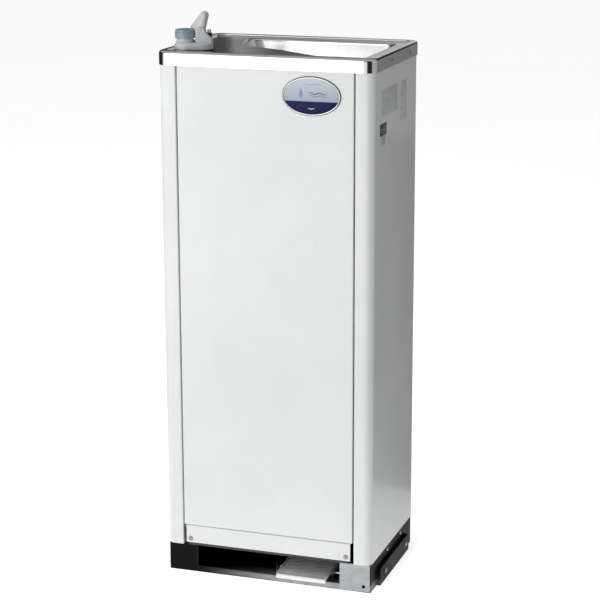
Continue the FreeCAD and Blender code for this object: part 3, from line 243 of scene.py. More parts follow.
def rounded(corners, step=6.0, closed=True):
    # an outline with its corners rounded, from (x, y, radius)
    points = []
    count = len(corners)
    for index, (x, y, radius) in enumerate(corners):
        here = Vector((x, y))
        isEnd = not closed and index in (0, count - 1)
        if isEnd or radius < 1e-6:
            points.append(here)
            continue
        before = (Vector(corners[index - 1][:2]) - here).normalized()
        after = (Vector(corners[(index + 1) % count][:2]) - here).normalized()
        half = before.angle(after) / 2
        centre = here + (before + after).normalized() * radius / math.sin(half)
        start = here + before * radius / math.tan(half) - centre
        sweep = (math.pi - 2 * half) * (1 if before.x * after.y - before.y * after.x < 0 else -1)
        steps = max(2, math.ceil(abs(math.degrees(sweep)) / step))
        points += [centre + turned(start, sweep * k / steps) for k in range(steps + 1)]
    return points


def grown(corners, distance):
    # the same anticlockwise outline, moved outwards
    result = []
    for index, (x, y, radius) in enumerate(corners):
        here = Vector((x, y))
        before = (here - Vector(corners[index - 1][:2])).normalized()
        after = (Vector(corners[(index + 1) % len(corners)][:2]) - here).normalized()
        first, second = Vector((before.y, -before.x)), Vector((after.y, -after.x))
        spot = here + (first + second) / (1 + first.dot(second)) * distance
        side = 1 if before.x * after.y - before.y * after.x > 0 else -1
        result.append((spot.x, spot.y, max(radius + side * distance, 0.05)))
    return result


def rectangle(low, high, radius):
    return [(low[0], low[1], radius), (high[0], low[1], radius),
            (high[0], high[1], radius), (low[0], high[1], radius)]


def quarter(steps=8):
    return [math.pi / 2 * k / steps for k in range(steps + 1)]


def circle(reach, height, steps):
    return [Vector((reach * math.cos(a), reach * math.sin(a), height))
            for a in (2 * math.pi * k / steps for k in range(steps))]


def loft(rings, caps=True, joined=False):
    # skins rings of equal length; joined closes the last ring onto the first
    count = len(rings[0])
    points = [point for ring in rings for point in ring]
    faces = []
    for row in range(len(rings) - (0 if joined else 1)):
        a, b = row * count, (row + 1) % len(rings) * count
        for k in range(count):
            n = (k + 1) % count
            faces.append((a + k, a + n, b + n, b + k))
    if caps and not joined:
        faces.append(tuple(reversed(range(count))))
        faces.append(tuple(range(len(points) - count, len(points))))
    return points, faces


def lathe(profile, steps=64, flutes=0, caps=True):
    # (radius, height) or (radius, height, depth of flutes) turned about the Z axis
    rings = []
    for radius, height, *depth in profile:
        cut = depth[0] if depth else 0
        ring = []
        for k in range(steps):
            angle = 2 * math.pi * k / steps
            reach = radius - cut * (0.5 + 0.5 * math.cos(flutes * angle))
            ring.append(Vector((reach * math.cos(angle), reach * math.sin(angle), height)))
        rings.append(ring)
    return loft(rings, caps)


def closedLathe(profile, steps=64, flutes=0):
    # a turned ring whose profile runs round a bore
    points, faces = lathe(profile, steps, flutes, caps=False)
    last = len(points) - steps
    faces = faces + [(last + k, last + (k + 1) % steps, (k + 1) % steps, k) for k in range(steps)]
    return points, faces


def strip(path, gauge, step=6.0):
    # the closed outline of a bent sheet, from the corners of its middle line
    middle = rounded(path, step, closed=False)
    left, right = [], []
    for index, point in enumerate(middle):
        before = (point - middle[max(index - 1, 0)])
        after = (middle[min(index + 1, len(middle) - 1)] - point)
        if before.length > 1e-9:
            before.normalize()
        if after.length > 1e-9:
            after.normalize()
        along = (before + after).normalized()
        across = Vector((-along.y, along.x))
        stretch = 1.0 if before.length < 1e-9 or after.length < 1e-9 else 1 / max(across.dot(
            Vector((-before.y, before.x))), 0.5)
        left.append(point + across * gauge / 2 * stretch)
        right.append(point - across * gauge / 2 * stretch)
    return left + right[::-1]


def extruded(outline, low, high, place):
    # place turns (u, v, w) into a point
    rings = [[place(p.x, p.y, w) for p in outline] for w in (low, high)]
    return loft(rings)


def combined(*shapes):
    points, faces = [], []
    for morePoints, moreFaces in shapes:
        start = len(points)
        points += list(morePoints)
        faces += [tuple(index + start for index in face) for face in moreFaces]
    return points, faces


def moved(shape, matrix):
    return [matrix @ Vector(point) for point in shape[0]], shape[1]


def addObject(name, data):
    item = bpy.data.objects.new(name, data)
    scene.collection.objects.link(item)
    return item


def makePiece(name, shape, material, body="cabinet", nodes=(), sharp=32, solid=True,
              bevel=0.0):
    # a piece in the part's frame, with smooth faces and sharp edges kept where it turns hard
    form = bmesh.new()
    vertices = [form.verts.new(Vector(point) * mm) for point in shape[0]]
    for face in shape[1]:
        form.faces.new([vertices[index] for index in face])
    bmesh.ops.remove_doubles(form, verts=form.verts, dist=2e-7)
    if solid:
        bmesh.ops.recalc_face_normals(form, faces=form.faces)
    markSharp(form, sharp)
    mesh = bpy.data.meshes.new(name)
    form.to_mesh(mesh)
    form.free()
    mesh.materials.append(materials[material] if isinstance(material, str) else material)
    piece = addObject(name, mesh)
    if bevel:
        addBevel(piece, bevel)
    return attach(piece, body, nodes)


def markSharp(form, sharp):
    for face in form.faces:
        face.smooth = True
    for edge in form.edges:
        edge.smooth = len(edge.link_faces) == 2 and edge.calc_face_angle(0) < math.radians(sharp)


def addBevel(piece, width):
    bevel = piece.modifiers.new("softEdges", "BEVEL")
    bevel.width = width * mm
    bevel.segments = 2
    bevel.limit_method = "ANGLE"
    bevel.angle_limit = math.radians(32)
    bevel.harden_normals = True
    bevel.use_clamp_overlap = True


def attach(piece, body, nodes):
    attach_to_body(piece, body)
    if nodes:
        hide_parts(*nodes)
    return piece


def settle(piece):
    # the modifiers become part of the mesh
    graph = bpy.context.evaluated_depsgraph_get()
    mesh = bpy.data.meshes.new_from_object(piece.evaluated_get(graph))
    piece.modifiers.clear()
    piece.data = mesh


def cutAway(piece, shape, name, material, itself=False):
    # takes a shape out of a piece, ahead of its soft edges
    cutter = makePiece(name, shape, material)
    cutting = piece.modifiers.new("cut", "BOOLEAN")
    cutting.object = cutter
    cutting.solver = "EXACT"
    cutting.use_self = itself
    piece.modifiers.move(len(piece.modifiers) - 1, 0)
    settle(piece)
    bpy.data.objects.remove(cutter)


# Deck: skirt, rolled rim, flat plate and a deep bowl, pressed from one sheet

deckShape = {
    "halfX": 181.5, "halfY": 132.5, "hem": 857, "top": 880, "plate": 877, "floor": 831,
    "cornerRadius": 18, "roll": 5.5, "rimWidth": 12, "mouthRoll": 3.6, "gauge": 1.4,
    "bowl": [(-85, 2, 25), (0, -40, 60), (100, -112, 30), (153, -112, 22), (153, 96, 22), (-108, 96, 22)],
    "draft": 1.8, "lean": 12, "floorFillet": 9, "fall": 1.0, "drain": (112, 30), "drainRadius": 21,
    "drainDish": 25, "centre": (50, -10), "closest": 0.35,
}


def castRing(outline, centre, angles):
    # where rays from the centre meet a closed outline
    a = np.array([(p.x, p.y) for p in outline]) - np.array(centre)
    b = np.roll(a, -1, axis=0)
    rays = np.stack([np.cos(angles), np.sin(angles)], axis=1)
    sideA = rays[:, :1] * a[:, 1] - rays[:, 1:] * a[:, 0]
    sideB = rays[:, :1] * b[:, 1] - rays[:, 1:] * b[:, 0]
    edge = b - a
    cross = a[:, 0] * edge[:, 1] - a[:, 1] * edge[:, 0]
    turn = rays[:, :1] * edge[:, 1] - rays[:, 1:] * edge[:, 0]
    reach = np.where(np.abs(turn) > 1e-12, cross / np.where(np.abs(turn) > 1e-12, turn, 1), -1)
    good = (sideA <= 1e-9) & (sideB > -1e-9) & (reach > 0) & (np.abs(turn) > 1e-12)
    pick = np.argmax(good, axis=1)
    far = reach[np.arange(len(angles)), pick]
    return [Vector((centre[0] + r * x, centre[1] + r * y)) for r, (x, y) in zip(far, rays)]


def makeDeck(part):
    centre = part["centre"]

    def frameCorners(inset, radius):
        x, y = part["halfX"] - inset, part["halfY"] - inset
        return rectangle((-x, -y), (x, y), radius)

    outlines = [rounded(frameCorners(0, part["cornerRadius"]), 5), rounded(frameCorners(14, 10), 9),
                rounded(part["bowl"], 5), rounded(grown(part["bowl"], -10), 8)]
    angles = sorted(math.atan2(p.y - centre[1], p.x - centre[0]) for line in outlines for p in line)
    angles += [math.radians(k) for k in range(-180, 180, 3)]
    kept = []
    for angle in sorted(angles):
        if not kept or angle - kept[-1] > math.radians(part["closest"]):
            kept.append(angle)
    angles = np.array(kept)
    rings = []

    def ring(corners, height):
        flat = castRing(rounded(corners, 3), centre, angles)
        rings.append([Vector((p.x, p.y, height)) for p in flat])

    radius, roll, top, plate = part["cornerRadius"], part["roll"], part["top"], part["plate"]
    for height in (part["hem"], part["hem"] + 0.8, top - roll - 0.8):
        ring(frameCorners(0, radius), height)
    for angle in quarter(8):
        inset = roll * (1 - math.cos(angle))
        ring(frameCorners(inset, radius - inset), top - roll + roll * math.sin(angle))
    rim, lip = part["rimWidth"], 1.5
    for inset in (roll + 0.6, rim - lip - 0.5):
        ring(frameCorners(inset, 12.4), top)
    for angle in quarter(4):
        ring(frameCorners(rim - lip * (1 - math.sin(angle)), 12.2), top - lip * (1 - math.cos(angle)))
    for angle in quarter(4):
        inset = rim + lip * (1 - math.cos(angle))
        ring(frameCorners(inset, 11.8), top - lip - (top - plate - lip) * math.sin(angle))
    ring(frameCorners(rim + 2.2, 11), plate)
    bowl, mouth = part["bowl"], part["mouthRoll"]
    ring(grown(bowl, mouth + 0.7), plate)
    for angle in quarter(7):
        ring(grown(bowl, mouth * (1 - math.sin(angle))), plate - mouth * (1 - math.cos(angle)))
    floor, fillet, draft = part["floor"] + part["fall"], part["floorFillet"], part["draft"]
    # the back wall leans away from the drinker
    lean = part["lean"]
    foot = [(x, y - (lean if y > 0.9 * max(c[1] for c in bowl) else 0), r) for x, y, r in bowl]
    ring(grown(bowl, -0.1), plate - mouth - 1.2)
    ring(grown(foot, -draft + 0.1), floor + fillet + 1.2)
    for angle in quarter(8):
        inset = draft + fillet * (1 - math.cos(angle))
        ring(grown(foot, -inset), floor + fillet - fillet * math.sin(angle))
    ring(grown(foot, -draft - fillet - 0.8), floor)
    wall = rings[-1]
    drain = part["drain"]

    def drainRing(reach, height):
        return [Vector((drain[0] + reach * math.cos(a), drain[1] + reach * math.sin(a), height))
                for a in angles]

    near = drainRing(part["drainDish"], part["floor"])
    for share in (0.15, 0.35, 0.6, 0.85, 1.0):
        ease = share * share * (3 - 2 * share)
        rings.append([w.lerp(n, share) for w, n in zip(wall, near)])
        for point in rings[-1]:
            point.z = floor - part["fall"] * ease
    rings.append(drainRing(part["drainRadius"] + 0.8, part["floor"] - 0.2))
    rings.append(drainRing(part["drainRadius"], part["floor"] - 1.2))
    piece = makePiece("deckPressing", loft(rings, caps=False), "hairlineStainless", "cabinet",
                      ("deck",), solid=False, sharp=40)
    sheet = piece.modifiers.new("gauge", "SOLIDIFY")
    sheet.thickness = part["gauge"] * mm
    sheet.offset = -1
    sheet.use_even_offset = True
    sheet.use_quality_normals = True
    settle(piece)
    print("deck:", len(piece.data.vertices), "vertices")


makeDeck(deckShape)


# Cabinet panels

panelShape = {
    "half": 179, "front": -130, "back": 130, "gauge": 1.2, "pillar": 29.5, "radius": 13.3,
    "low": 49, "high": 868, "fold": 1.4, "return": 10,
    "doorHalf": 147.3, "doorLow": 84.8, "doorHigh": 866, "doorDepth": 14, "doorFold": 1.5,
    "doorCorner": 1.2,
    "kickHalf": 144, "kickLow": 53.5, "kickHigh": 84, "kickFace": -129.6, "kickReturn": 12,
}


def makePanels(part):
    gauge = part["gauge"]
    outer, half = part["half"] - gauge / 2, part["half"] - part["pillar"] + gauge / 2
    front, back = part["front"] + gauge / 2, part["back"] - gauge / 2
    bend, fold = part["radius"] - gauge / 2, part["fold"]
    for side, name in ((-1, "left"), (1, "right")):
        path = [(half, front + part["return"], 0), (half, front, fold), (outer, front, bend),
                (outer, back, bend), (half - gauge / 2, back, 0)]
        outline = strip([(side * x, y, r) for x, y, r in path], gauge, 4)
        makePiece(f"sideWall{name.capitalize()}",
                  extruded(outline, part["low"], part["high"], lambda u, v, w: Vector((u, v, w))),
                  "bakedEnamel", "cabinet", (f"side_panel_{name}",), bevel=0.22)

    low, high = (-part["doorHalf"], part["doorLow"]), (part["doorHalf"], part["doorHigh"])
    corner, fold, face = part["doorCorner"], part["doorFold"], part["front"]

    def ring(inset, depth):
        corners = rectangle((low[0] + inset, low[1] + inset), (high[0] - inset, high[1] - inset),
                            max(corner - inset * 0.4, 0.3))
        return [Vector((p.x, face + depth, p.y)) for p in rounded(corners, 15)]

    depth = part["doorDepth"]
    rings = [ring(gauge, depth), ring(0.15, depth), ring(0, depth - 0.2), ring(0, fold + 0.5)]
    rings += [ring(fold * (1 - math.cos(a)), fold * (1 - math.sin(a))) for a in quarter(6)]
    rings.append(ring(fold + 0.5, 0))
    innerRings = [ring(fold + 0.5 + gauge, gauge), ring(gauge, gauge + 0.8)]
    points, faces = loft(rings, caps=False)
    count = len(rings[0])
    faces.append(tuple(range(len(points) - count, len(points))))
    start = len(points)
    for inner in innerRings:
        points += inner
    for k in range(count):
        n = (k + 1) % count
        faces.append((start + k, start + n, start + count + n, start + count + k))
        faces.append((start + count + k, start + count + n, n, k))
    faces.append(tuple(reversed(range(start, start + count))))
    makePiece("doorSheet", (points, faces), "bakedEnamel", "cabinet", ("front_panel",),
              sharp=50)

    kick = part["kickFace"] + gauge / 2
    top = part["kickHigh"] - gauge / 2
    path = [(kick, part["kickLow"], 0), (kick, top, fold), (kick + part["kickReturn"], top, 0)]
    makePiece("kickSheet", extruded(strip(path, gauge, 10), -part["kickHalf"], part["kickHalf"],
                                    lambda u, v, w: Vector((w, u, v))),
              "bakedEnamel", "cabinet", ("kick_panel",), bevel=0.25)
    print("panels: side walls, door, kick strip")


makePanels(panelShape)


# Screws: truss heads with a cross recess; one mesh, copied

screwShape = {"radius": 4.2, "rise": 2.1, "recess": 4.0, "slot": 0.95, "depth": 1.15, "shank": 3.0}


def makeScrewMesh(part):
    radius, rise = part["radius"], part["rise"]
    profile = [(2.0, -part["shank"]), (2.0, -0.02), (radius, 0.0), (radius, 0.35)]
    profile += [(radius * math.cos(a) ** 0.85, 0.35 + (rise - 0.35) * math.sin(a))
                for a in quarter(9)[1:-1]]
    profile.append((0.25, rise))
    head = makePiece("screwHead", lathe(profile, 40), "zincPlate")
    half, wide = part["recess"] / 2, part["slot"] / 2
    outline = [Vector(p) for p in ((-half, -wide), (half, -wide), (half, wide), (-half, wide))]
    for turn in (0, math.pi / 2):
        deep = [turned(p * 0.62, turn) for p in outline]
        flat = [turned(p, turn) for p in outline]
        rings = [[Vector((p.x, p.y, rise - part["depth"])) for p in deep],
                 [Vector((p.x, p.y, rise + 0.6)) for p in flat]]
        cutAway(head, loft(rings), "screwCutter", "zincPlate")
    points = [v.co / mm for v in head.data.vertices]
    faces = [tuple(p.vertices) for p in head.data.polygons]
    bpy.data.objects.remove(head)
    return points, faces


screwMesh = makeScrewMesh(screwShape)


screwSpots = {
    # set: node, and groups of spots with the way their heads face
    "kickScrews": ("kick_screws", [([(s * 136.5, -129.6, 60.3) for s in (-1, 1)], (0, -1, 0))]),
    "skirtScrews": ("deck_screws", [([(s * 181.5, y, 866) for y in (-33, 68)], (s, 0, 0))
                                    for s in (-1, 1)]),
    "footScrews": ("side_foot_screws", [
        ([(s * x, y, z) for y in spots], (s, 0, 0))
        for x, z, spots in ((184, 16, (-56.5, 69)), (177.5, 41.5, (-26, 54))) for s in (-1, 1)]),
    "rearScrews": ("rear_screws", [([(s * 155.5, 130, z) for s in (-1, 1) for z in (90, 460, 830)],
                                    (0, 1, 0))]),
}


def screwSet(name, node, groups):
    # heads on a sheet, each turned a little differently
    heads = []
    for spots, direction in groups:
        lift = Vector(direction).to_track_quat("Z", "Y").to_matrix().to_4x4()
        for index, spot in enumerate(spots):
            spin = Matrix.Rotation(0.4 + index * 1.1, 4, "Z")
            heads.append(moved(screwMesh, Matrix.Translation(Vector(spot)) @ lift @ spin))
    makePiece(name, combined(*heads), "zincPlate", "cabinet", (node,), sharp=28)


for name, (node, groups) in screwSpots.items():
    screwSet(name, node, groups)
print("screws: four sets")


# Foot pedal: a ribbed aluminium tread with a rolled lip, cheeks at both ends and lugs on the rod

pedalShape = {
    "left": 18, "right": 104, "front": -138, "back": -58, "frontTop": 20, "slope": 4.34, "thick": 4,
    "ribs": 9, "ribPitch": 6.4, "ribDepth": 0.8, "lip": 8, "cheek": 2.6,
    "pivot": (-90, 14), "pivotRadius": 3.05,
}
springShape = {"wire": 0.8, "coil": 4.4, "turns": 8, "pitch": 1.9, "start": 53.6, "axis": (-90, 14)}


def makePedal(part):
    rise = math.tan(math.radians(part["slope"]))

    def top(y):
        return part["frontTop"] + (y - part["front"]) * rise

    front, back, thick = part["front"], part["back"], part["thick"]
    outline = [Vector((front + 0.2, part["frontTop"] - part["lip"] + 1.2))]
    centre = Vector((front + 3.4, part["frontTop"] - 3.4))
    for k in range(13):
        angle = math.radians(180 - 90 * k / 12)
        outline.append(centre + Vector((math.cos(angle), math.sin(angle))) * 3.4)
    outline.append(Vector((front + 6.2, top(front + 6.2) - 0.05)))
    y = front + 8.2
    for _ in range(part["ribs"]):
        width = part["ribPitch"] * 0.5
        for k in range(7):
            share = k / 6
            dip = part["ribDepth"] * math.sin(math.pi * share) ** 0.7 if 0 < share < 1 else 0
            outline.append(Vector((y + width * share, top(y + width * share) - dip)))
        y += part["ribPitch"]
    low = part["frontTop"] - part["lip"]
    outline += [Vector(p) for p in (
        (back - 0.6, top(back)), (back, top(back) - 0.6), (back, top(back) - thick + 0.4),
        (back - 0.5, top(back) - thick), (front + 9, top(front) - thick + 0.4),
        (front + 6, top(front) - thick - 0.4), (front + 4.6, top(front) - thick - 2.0),
        (front + 4.3, low + 0.8), (front + 3.4, low), (front + 1.2, low))]

    def across(u, v, w):
        return Vector((w, u, v))

    cheek = part["cheek"]
    shapes = [extruded(outline, part["left"] + 0.4, part["right"] - 0.4, across)]
    pivot = part["pivot"]
    for low in (part["left"], part["right"] - cheek):
        rim = [(front + 1.5, top(front) - 3.6, 1.5), (front + 30, top(front + 30) - 4, 6),
               (pivot[0] - 6, 9, 4), (pivot[0] + 7, 9, 4),
               (back - 6, top(back) - 5.5, 5), (back, top(back) - 3.5, 1.2),
               (back, top(back) + 0.9, 1.2), (front + 4, top(front + 4) + 0.9, 3.0),
               (front, top(front) - 3.2, 2.2)]
        shapes.append(extruded(rounded(rim, 12), low, low + cheek, across))
    for low in (part["left"] + 8, part["right"] - 16):
        lug = [(pivot[0] - 12, 19.5, 0.5), (pivot[0] - 5, 9, 4), (pivot[0] + 5, 9, 4),
               (pivot[0] + 14, 21, 0.5)]
        shapes.append(extruded(rounded(lug, 12), low, low + 8, across))
    piece = makePiece("pedalTread", combined(*shapes), "extrudedAluminium", "pedal",
                      ("foot_pedal",), sharp=38, bevel=0.35)
    # the rod's bore
    bore = lathe([(part["pivotRadius"], -20), (part["pivotRadius"], 130)], 32)
    bore = moved(bore, Matrix.Translation((0, pivot[0], pivot[1])) @ Matrix.Rotation(math.pi / 2, 4, "Y"))
    cutAway(piece, bore, "boreCutter", "extrudedAluminium", itself=True)


def makeSpring(part):
    coil, pitch, start, (y, z) = part["coil"], part["pitch"], part["start"], part["axis"]
    line = [Vector((52.2, y - coil - 4, 20.5)), Vector((53.0, y - coil, 16))]
    for k in range(part["turns"] * 16 + 1):
        angle = math.pi + 2 * math.pi * k / 16
        line.append(Vector((start + pitch * k / 16, y + coil * math.cos(angle),
                            z + coil * math.sin(angle))))
    line += [Vector((68.9, y - coil, 10)), Vector((69.2, y - coil - 1, 5.0))]
    curve = bpy.data.curves.new("returnSpring", "CURVE")
    curve.dimensions = "3D"
    spline = curve.splines.new("NURBS")
    spline.points.add(len(line) - 1)
    for point, spot in zip(spline.points, line):
        point.co = (*(spot * mm), 1)
    spline.order_u = 3
    spline.use_endpoint_u = True
    spline.resolution_u = 2
    curve.bevel_depth = part["wire"] * mm
    curve.bevel_resolution = 4
    curve.use_fill_caps = True
    curve.materials.append(materials["zincPlate"])
    attach(addObject("returnSpring", curve), "cabinet", ("pedal_spring",))
    print("pedal: tread and return spring")


makePedal(pedalShape)
makeSpring(springShape)


# Bubbler: a moulded body with a neck, a hump and a mouth guard, turned on the deck

bubblerShape = {
    "at": (-131, -93, 879.5), "turn": 20, "length": 61, "width": 38, "foot": 11.5, "footRound": 4,
    "neckX": -14, "neckRadius": 13.5, "neckTop": 22, "spoutSeat": 20.5,
    "humpHalf": 12.6, "hump": [(2.3, 8, 0.4), (2.3, 31.0, 1.5), (8, 35, 4), (16.5, 34, 3), (20.5, 26, 4),
                               (29.4, 18, 3), (30.2, 8, 0.4)],
    "guardHalf": 8, "voxel": 0.55, "smoothing": 4,
    "guardSpine": ((11.5, 12), (18.2, 54.5)),
    "guard": [(2.3, 12, 0.5), (18.9, 12, 0.5), (19.4, 33, 14), (24.9, 55.6, 4), (19.3, 61.2, 4.2),
              (12.8, 58.6, 5), (-4.6, 37.0, 1.2), (-5.4, 33.2, 0.6), (2.3, 32.9, 0.6)],
    "buttonRadius": 16.2, "buttonLow": 18.0, "buttonTop": 32.6, "nozzleX": 24.6,
    # radius and height over the spout's seat
    "collar": [(2.65, -1.0), (2.65, 5.0), (3.0, 5.4), (4.1, 5.4), (4.6, 4.9), (4.6, 3.7), (4.15, 3.3),
               (4.15, 2.7), (4.6, 2.3), (4.6, -1.0)],
    "tip": [(1.2, 1), (1.2, 10.0), (1.5, 10.25), (2.9, 10.25), (3.4, 9.8), (3.4, 8.1), (3.1, 7.7),
            (2.6, 7.5), (2.6, 0.6)],
}


def makeBubbler(part):
    x, y, z = part["at"]
    place = Matrix.Translation((x, y, z)) @ Matrix.Rotation(math.radians(part["turn"]), 4, "Z")

    def stack(levels, length, width):
        # a round-ended block, from (inset, height)
        rings = []
        for inset, height in levels:
            x, y = (length - 2 * inset) / 2, (width - 2 * inset) / 2
            ring = rounded(rectangle((-x, -y), (x, y), width / 2 - inset - 0.05), 6)
            rings.append([Vector((p.x, p.y, height)) for p in ring])
        return loft(rings)

    foot, soft = part["foot"], part["footRound"]
    levels = [(0.5, 0.0), (0.0, 0.5), (0.0, foot - soft)]
    levels += [(soft * (1 - math.cos(a)), foot - soft + soft * math.sin(a)) for a in quarter(8)[1:]]
    body = stack(levels, part["length"], part["width"])
    # the shoulder behind the button: it slopes down to the spout's seat
    wide, outline = part["humpHalf"], rounded(part["hump"], 10)
    middle = Vector((16, 14))
    rings = []
    for share, squeeze in ((-1, 0.16), (-0.93, 0.07), (-0.8, 0.0), (0.8, 0.0), (0.93, 0.07), (1, 0.16)):
        rings.append([Vector((q.x, wide * share, q.y)) for q in (p.lerp(middle, squeeze) for p in outline)])
    hump = loft(rings)
    r = part["neckRadius"]
    neck = lathe([(r + 1.8, foot - 1), (r + 0.7, foot + 0.5), (r, foot + 2.2), (r, part["neckTop"] - 0.5),
                  (r - 0.5, part["neckTop"])], 64)
    neck = moved(neck, Matrix.Translation((part["neckX"], 0, 0)))
    # the guard: a leaning wedge whose two faces meet in a soft ridge
    rim = rounded(part["guard"], 8)
    half, low, high = part["guardHalf"], *(Vector(p) for p in part["guardSpine"])
    spine = high - low
    rings = []
    for share, squeeze in ((-1, 0.86), (-0.97, 0.76), (-0.6, 0.42), (-0.28, 0.1), (-0.16, 0.0),
                           (0.16, 0.0), (0.28, 0.1), (0.6, 0.42), (0.97, 0.76), (1, 0.86)):
        ring = []
        for p in rim:
            along = min(max((p - low).dot(spine) / spine.length_squared, 0.0), 1.0)
            q = p.lerp(low + spine * along, squeeze)
            ring.append(Vector((q.x, half * share, q.y)))
        rings.append(ring)
    guard = loft(rings)
    form = combined(body, hump, neck, guard)
    piece = makePiece("bubblerCasting", moved(form, place), "mouldedGreyAbs", "cabinet",
                      ("bubbler_body", "mouth_guard"), sharp=180)
    remesh = piece.modifiers.new("cast", "REMESH")
    remesh.mode = "VOXEL"
    remesh.voxel_size = part["voxel"] * mm
    remesh.use_smooth_shade = True
    smooth = piece.modifiers.new("drawn", "SMOOTH")
    smooth.factor = 0.5
    smooth.iterations = part["smoothing"]
    settle(piece)
    print("bubbler:", len(piece.data.vertices), "vertices")

    levels = [(0.4, -2.5), (0.0, -2.1), (0.15, -1.25), (0.0, -0.4), (0.5, 0.0)]
    gasket = stack(levels, part["length"] + 3, part["width"] + 3)
    makePiece("bubblerSeal", moved(gasket, place), "mouldedRubber", "cabinet",
              ("bubbler_gasket",), sharp=60)

    low, high, r = part["buttonLow"], part["buttonTop"], part["buttonRadius"]
    inner = part["neckRadius"] + 0.35
    profile = [(inner, low + 9), (inner, low + 0.3), (inner + 0.3, low), (r - 0.7, low),
               (r - 0.15, low + 0.35), (r, low + 1.0), (r, low + 8.6), (r - 0.1, low + 8.9),
               (r - 0.55, low + 9.2), (r - 0.55, low + 9.6), (r - 0.15, low + 9.9), (r - 0.1, high - 3.4)]
    profile += [(r - 0.1 - 3.0 * (1 - math.cos(a)), high - 3.3 + 2.6 * math.sin(a))
                for a in quarter(8)[1:]]
    profile += [(r - 4.2, high - 0.62), (r - 5.0, high - 0.95), (r - 5.8, high - 0.55),
                (7.0, high - 0.12), (3.5, high - 0.01), (0.4, high)]
    cap = lathe(profile, 96)
    cap = moved(cap, place @ Matrix.Translation((part["neckX"], 0, 0)))
    makePiece("bubblerButton", cap, "mouldedBlueAbs", "button", ("push_button",),
              sharp=40)

    top, spot = part["spoutSeat"], Matrix.Translation((part["nozzleX"], 0, 0))
    for name, key, material, slot, node in (
            ("spoutCollar", "collar", "blackNylon", "black_resin", "nozzle_collar"),
            ("spoutTip", "tip", "chromePlate", "chrome", "nozzle_tip")):
        ring = closedLathe([(radius, top + height) for radius, height in part[key]], 48)
        makePiece(name, moved(ring, place @ spot), material, "cabinet", (node,), sharp=35)


makeBubbler(bubblerShape)


# Badge: a bright rim round a domed print; the mark is a plain droplet beside waves

badgeShape = {
    "centre": (78.5, -130.0, 818.0), "half": (47.6, 30.2), "rim": 2.3, "rimRise": 2.3,
    "face": 1.2, "dome": 0.9,
    "split": -8.0, "pale": "#9FABB8", "paleTop": "#C6CED6", "navy": "#060C38", "navyEdge": "#0A1250",
    "mark": "#6F7FA6", "wave": "#2C3A66", "line": "#F4F6F8",
    "waves": [
        # left, right, level, rise, thickness, number of waves, ink
        (-6, 25, 4.6, 1.1, 1.7, 2, "wave"), (-4, 27, 0.4, 1.1, 1.5, 2, "mark"),
        (-5.5, 5.5, -19.5, 0.45, 0.9, 1.5, "line"), (-13, 14, 18.6, 0.45, 0.8, 1.5, "mark"),
    ],
}


def badgePrint(part):
    # screen print under a clear resin dome: flat colours, a crisp boundary, a deep gloss
    material = bpy.data.materials.new("domedPrint")
    material.use_nodes = True
    tree = material.node_tree
    shader = tree.nodes["Principled BSDF"]
    shader.inputs["Roughness"].default_value = 0.3
    shader.inputs["IOR"].default_value = 1.5
    shader.inputs["Coat Weight"].default_value = 0.06
    shader.inputs["Coat Roughness"].default_value = 0.06
    shader.inputs["Specular IOR Level"].default_value = 0.1
    x, y, z = part["centre"]
    place = addNode(tree, "TexCoord").outputs["Object"]
    spot = addNode(tree, "VectorMath", {0: place, 1: (x * mm, y * mm, z * mm)},
                   operation="SUBTRACT").outputs[0]
    spot = addNode(tree, "VectorMath", {0: spot, "Scale": 1000.0}, operation="SCALE").outputs[0]
    axes = addNode(tree, "SeparateXYZ", {"Vector": spot})
    height = axes.outputs["Z"]
    pale = addNode(tree, "MapRange", {"Value": height, "From Min": part["split"], "From Max": 28.0})
    pale = addNode(tree, "ValToRGB", {"Fac": pale.outputs["Result"]}, stops=[
        (0.0, linear(part["pale"])), (1.0, linear(part["paleTop"]))]).outputs["Color"]
    deep = addNode(tree, "MapRange", {"Value": height, "From Min": -28.0, "From Max": part["split"]})
    deep = addNode(tree, "ValToRGB", {"Fac": deep.outputs["Result"]}, stops=[
        (0.0, linear(part["navy"])), (1.0, linear(part["navyEdge"]))]).outputs["Color"]
    below = addNode(tree, "MapRange", {"Value": height, "From Min": part["split"] + 0.15,
                                       "From Max": part["split"] - 0.15}).outputs["Result"]
    ink = addNode(tree, "MixRGB", {"Fac": below, "Color1": pale, "Color2": deep}).outputs["Color"]
    # halftone dots of the print, 0.6 mm apart
    dots = addNode(tree, "TexVoronoi", {"Vector": spot, "Scale": 1.6, "Randomness": 0.0})
    dots = addNode(tree, "MapRange", {"Value": dots.outputs["Distance"], "From Min": 0.1, "From Max": 0.5,
                                      "To Min": 0.95, "To Max": 1.02}).outputs["Result"]
    ink = addNode(tree, "VectorMath", {0: ink, "Scale": dots}, operation="SCALE").outputs[0]
    tree.links.new(ink, shader.inputs["Base Color"])
    haze = addNode(tree, "TexNoise", {"Vector": spot, "Scale": 0.12, "Detail": 3.0}).outputs["Fac"]
    haze = addNode(tree, "MapRange", {"Value": haze, "To Min": 0.24, "To Max": 0.38}).outputs["Result"]
    tree.links.new(haze, shader.inputs["Roughness"])
    return material


def inkMaterial(name, colour):
    # opaque screen ink: matt, a little grainy
    look = dict(tones=(colour, colour), toneSize=8, roughness=(0.34, 0.46), grain=(0.5, 0.5, 0.5),
                grainDepth=0.004, grainTone=0.06, coat=(0.6, 0.08))
    return surface(name, look)


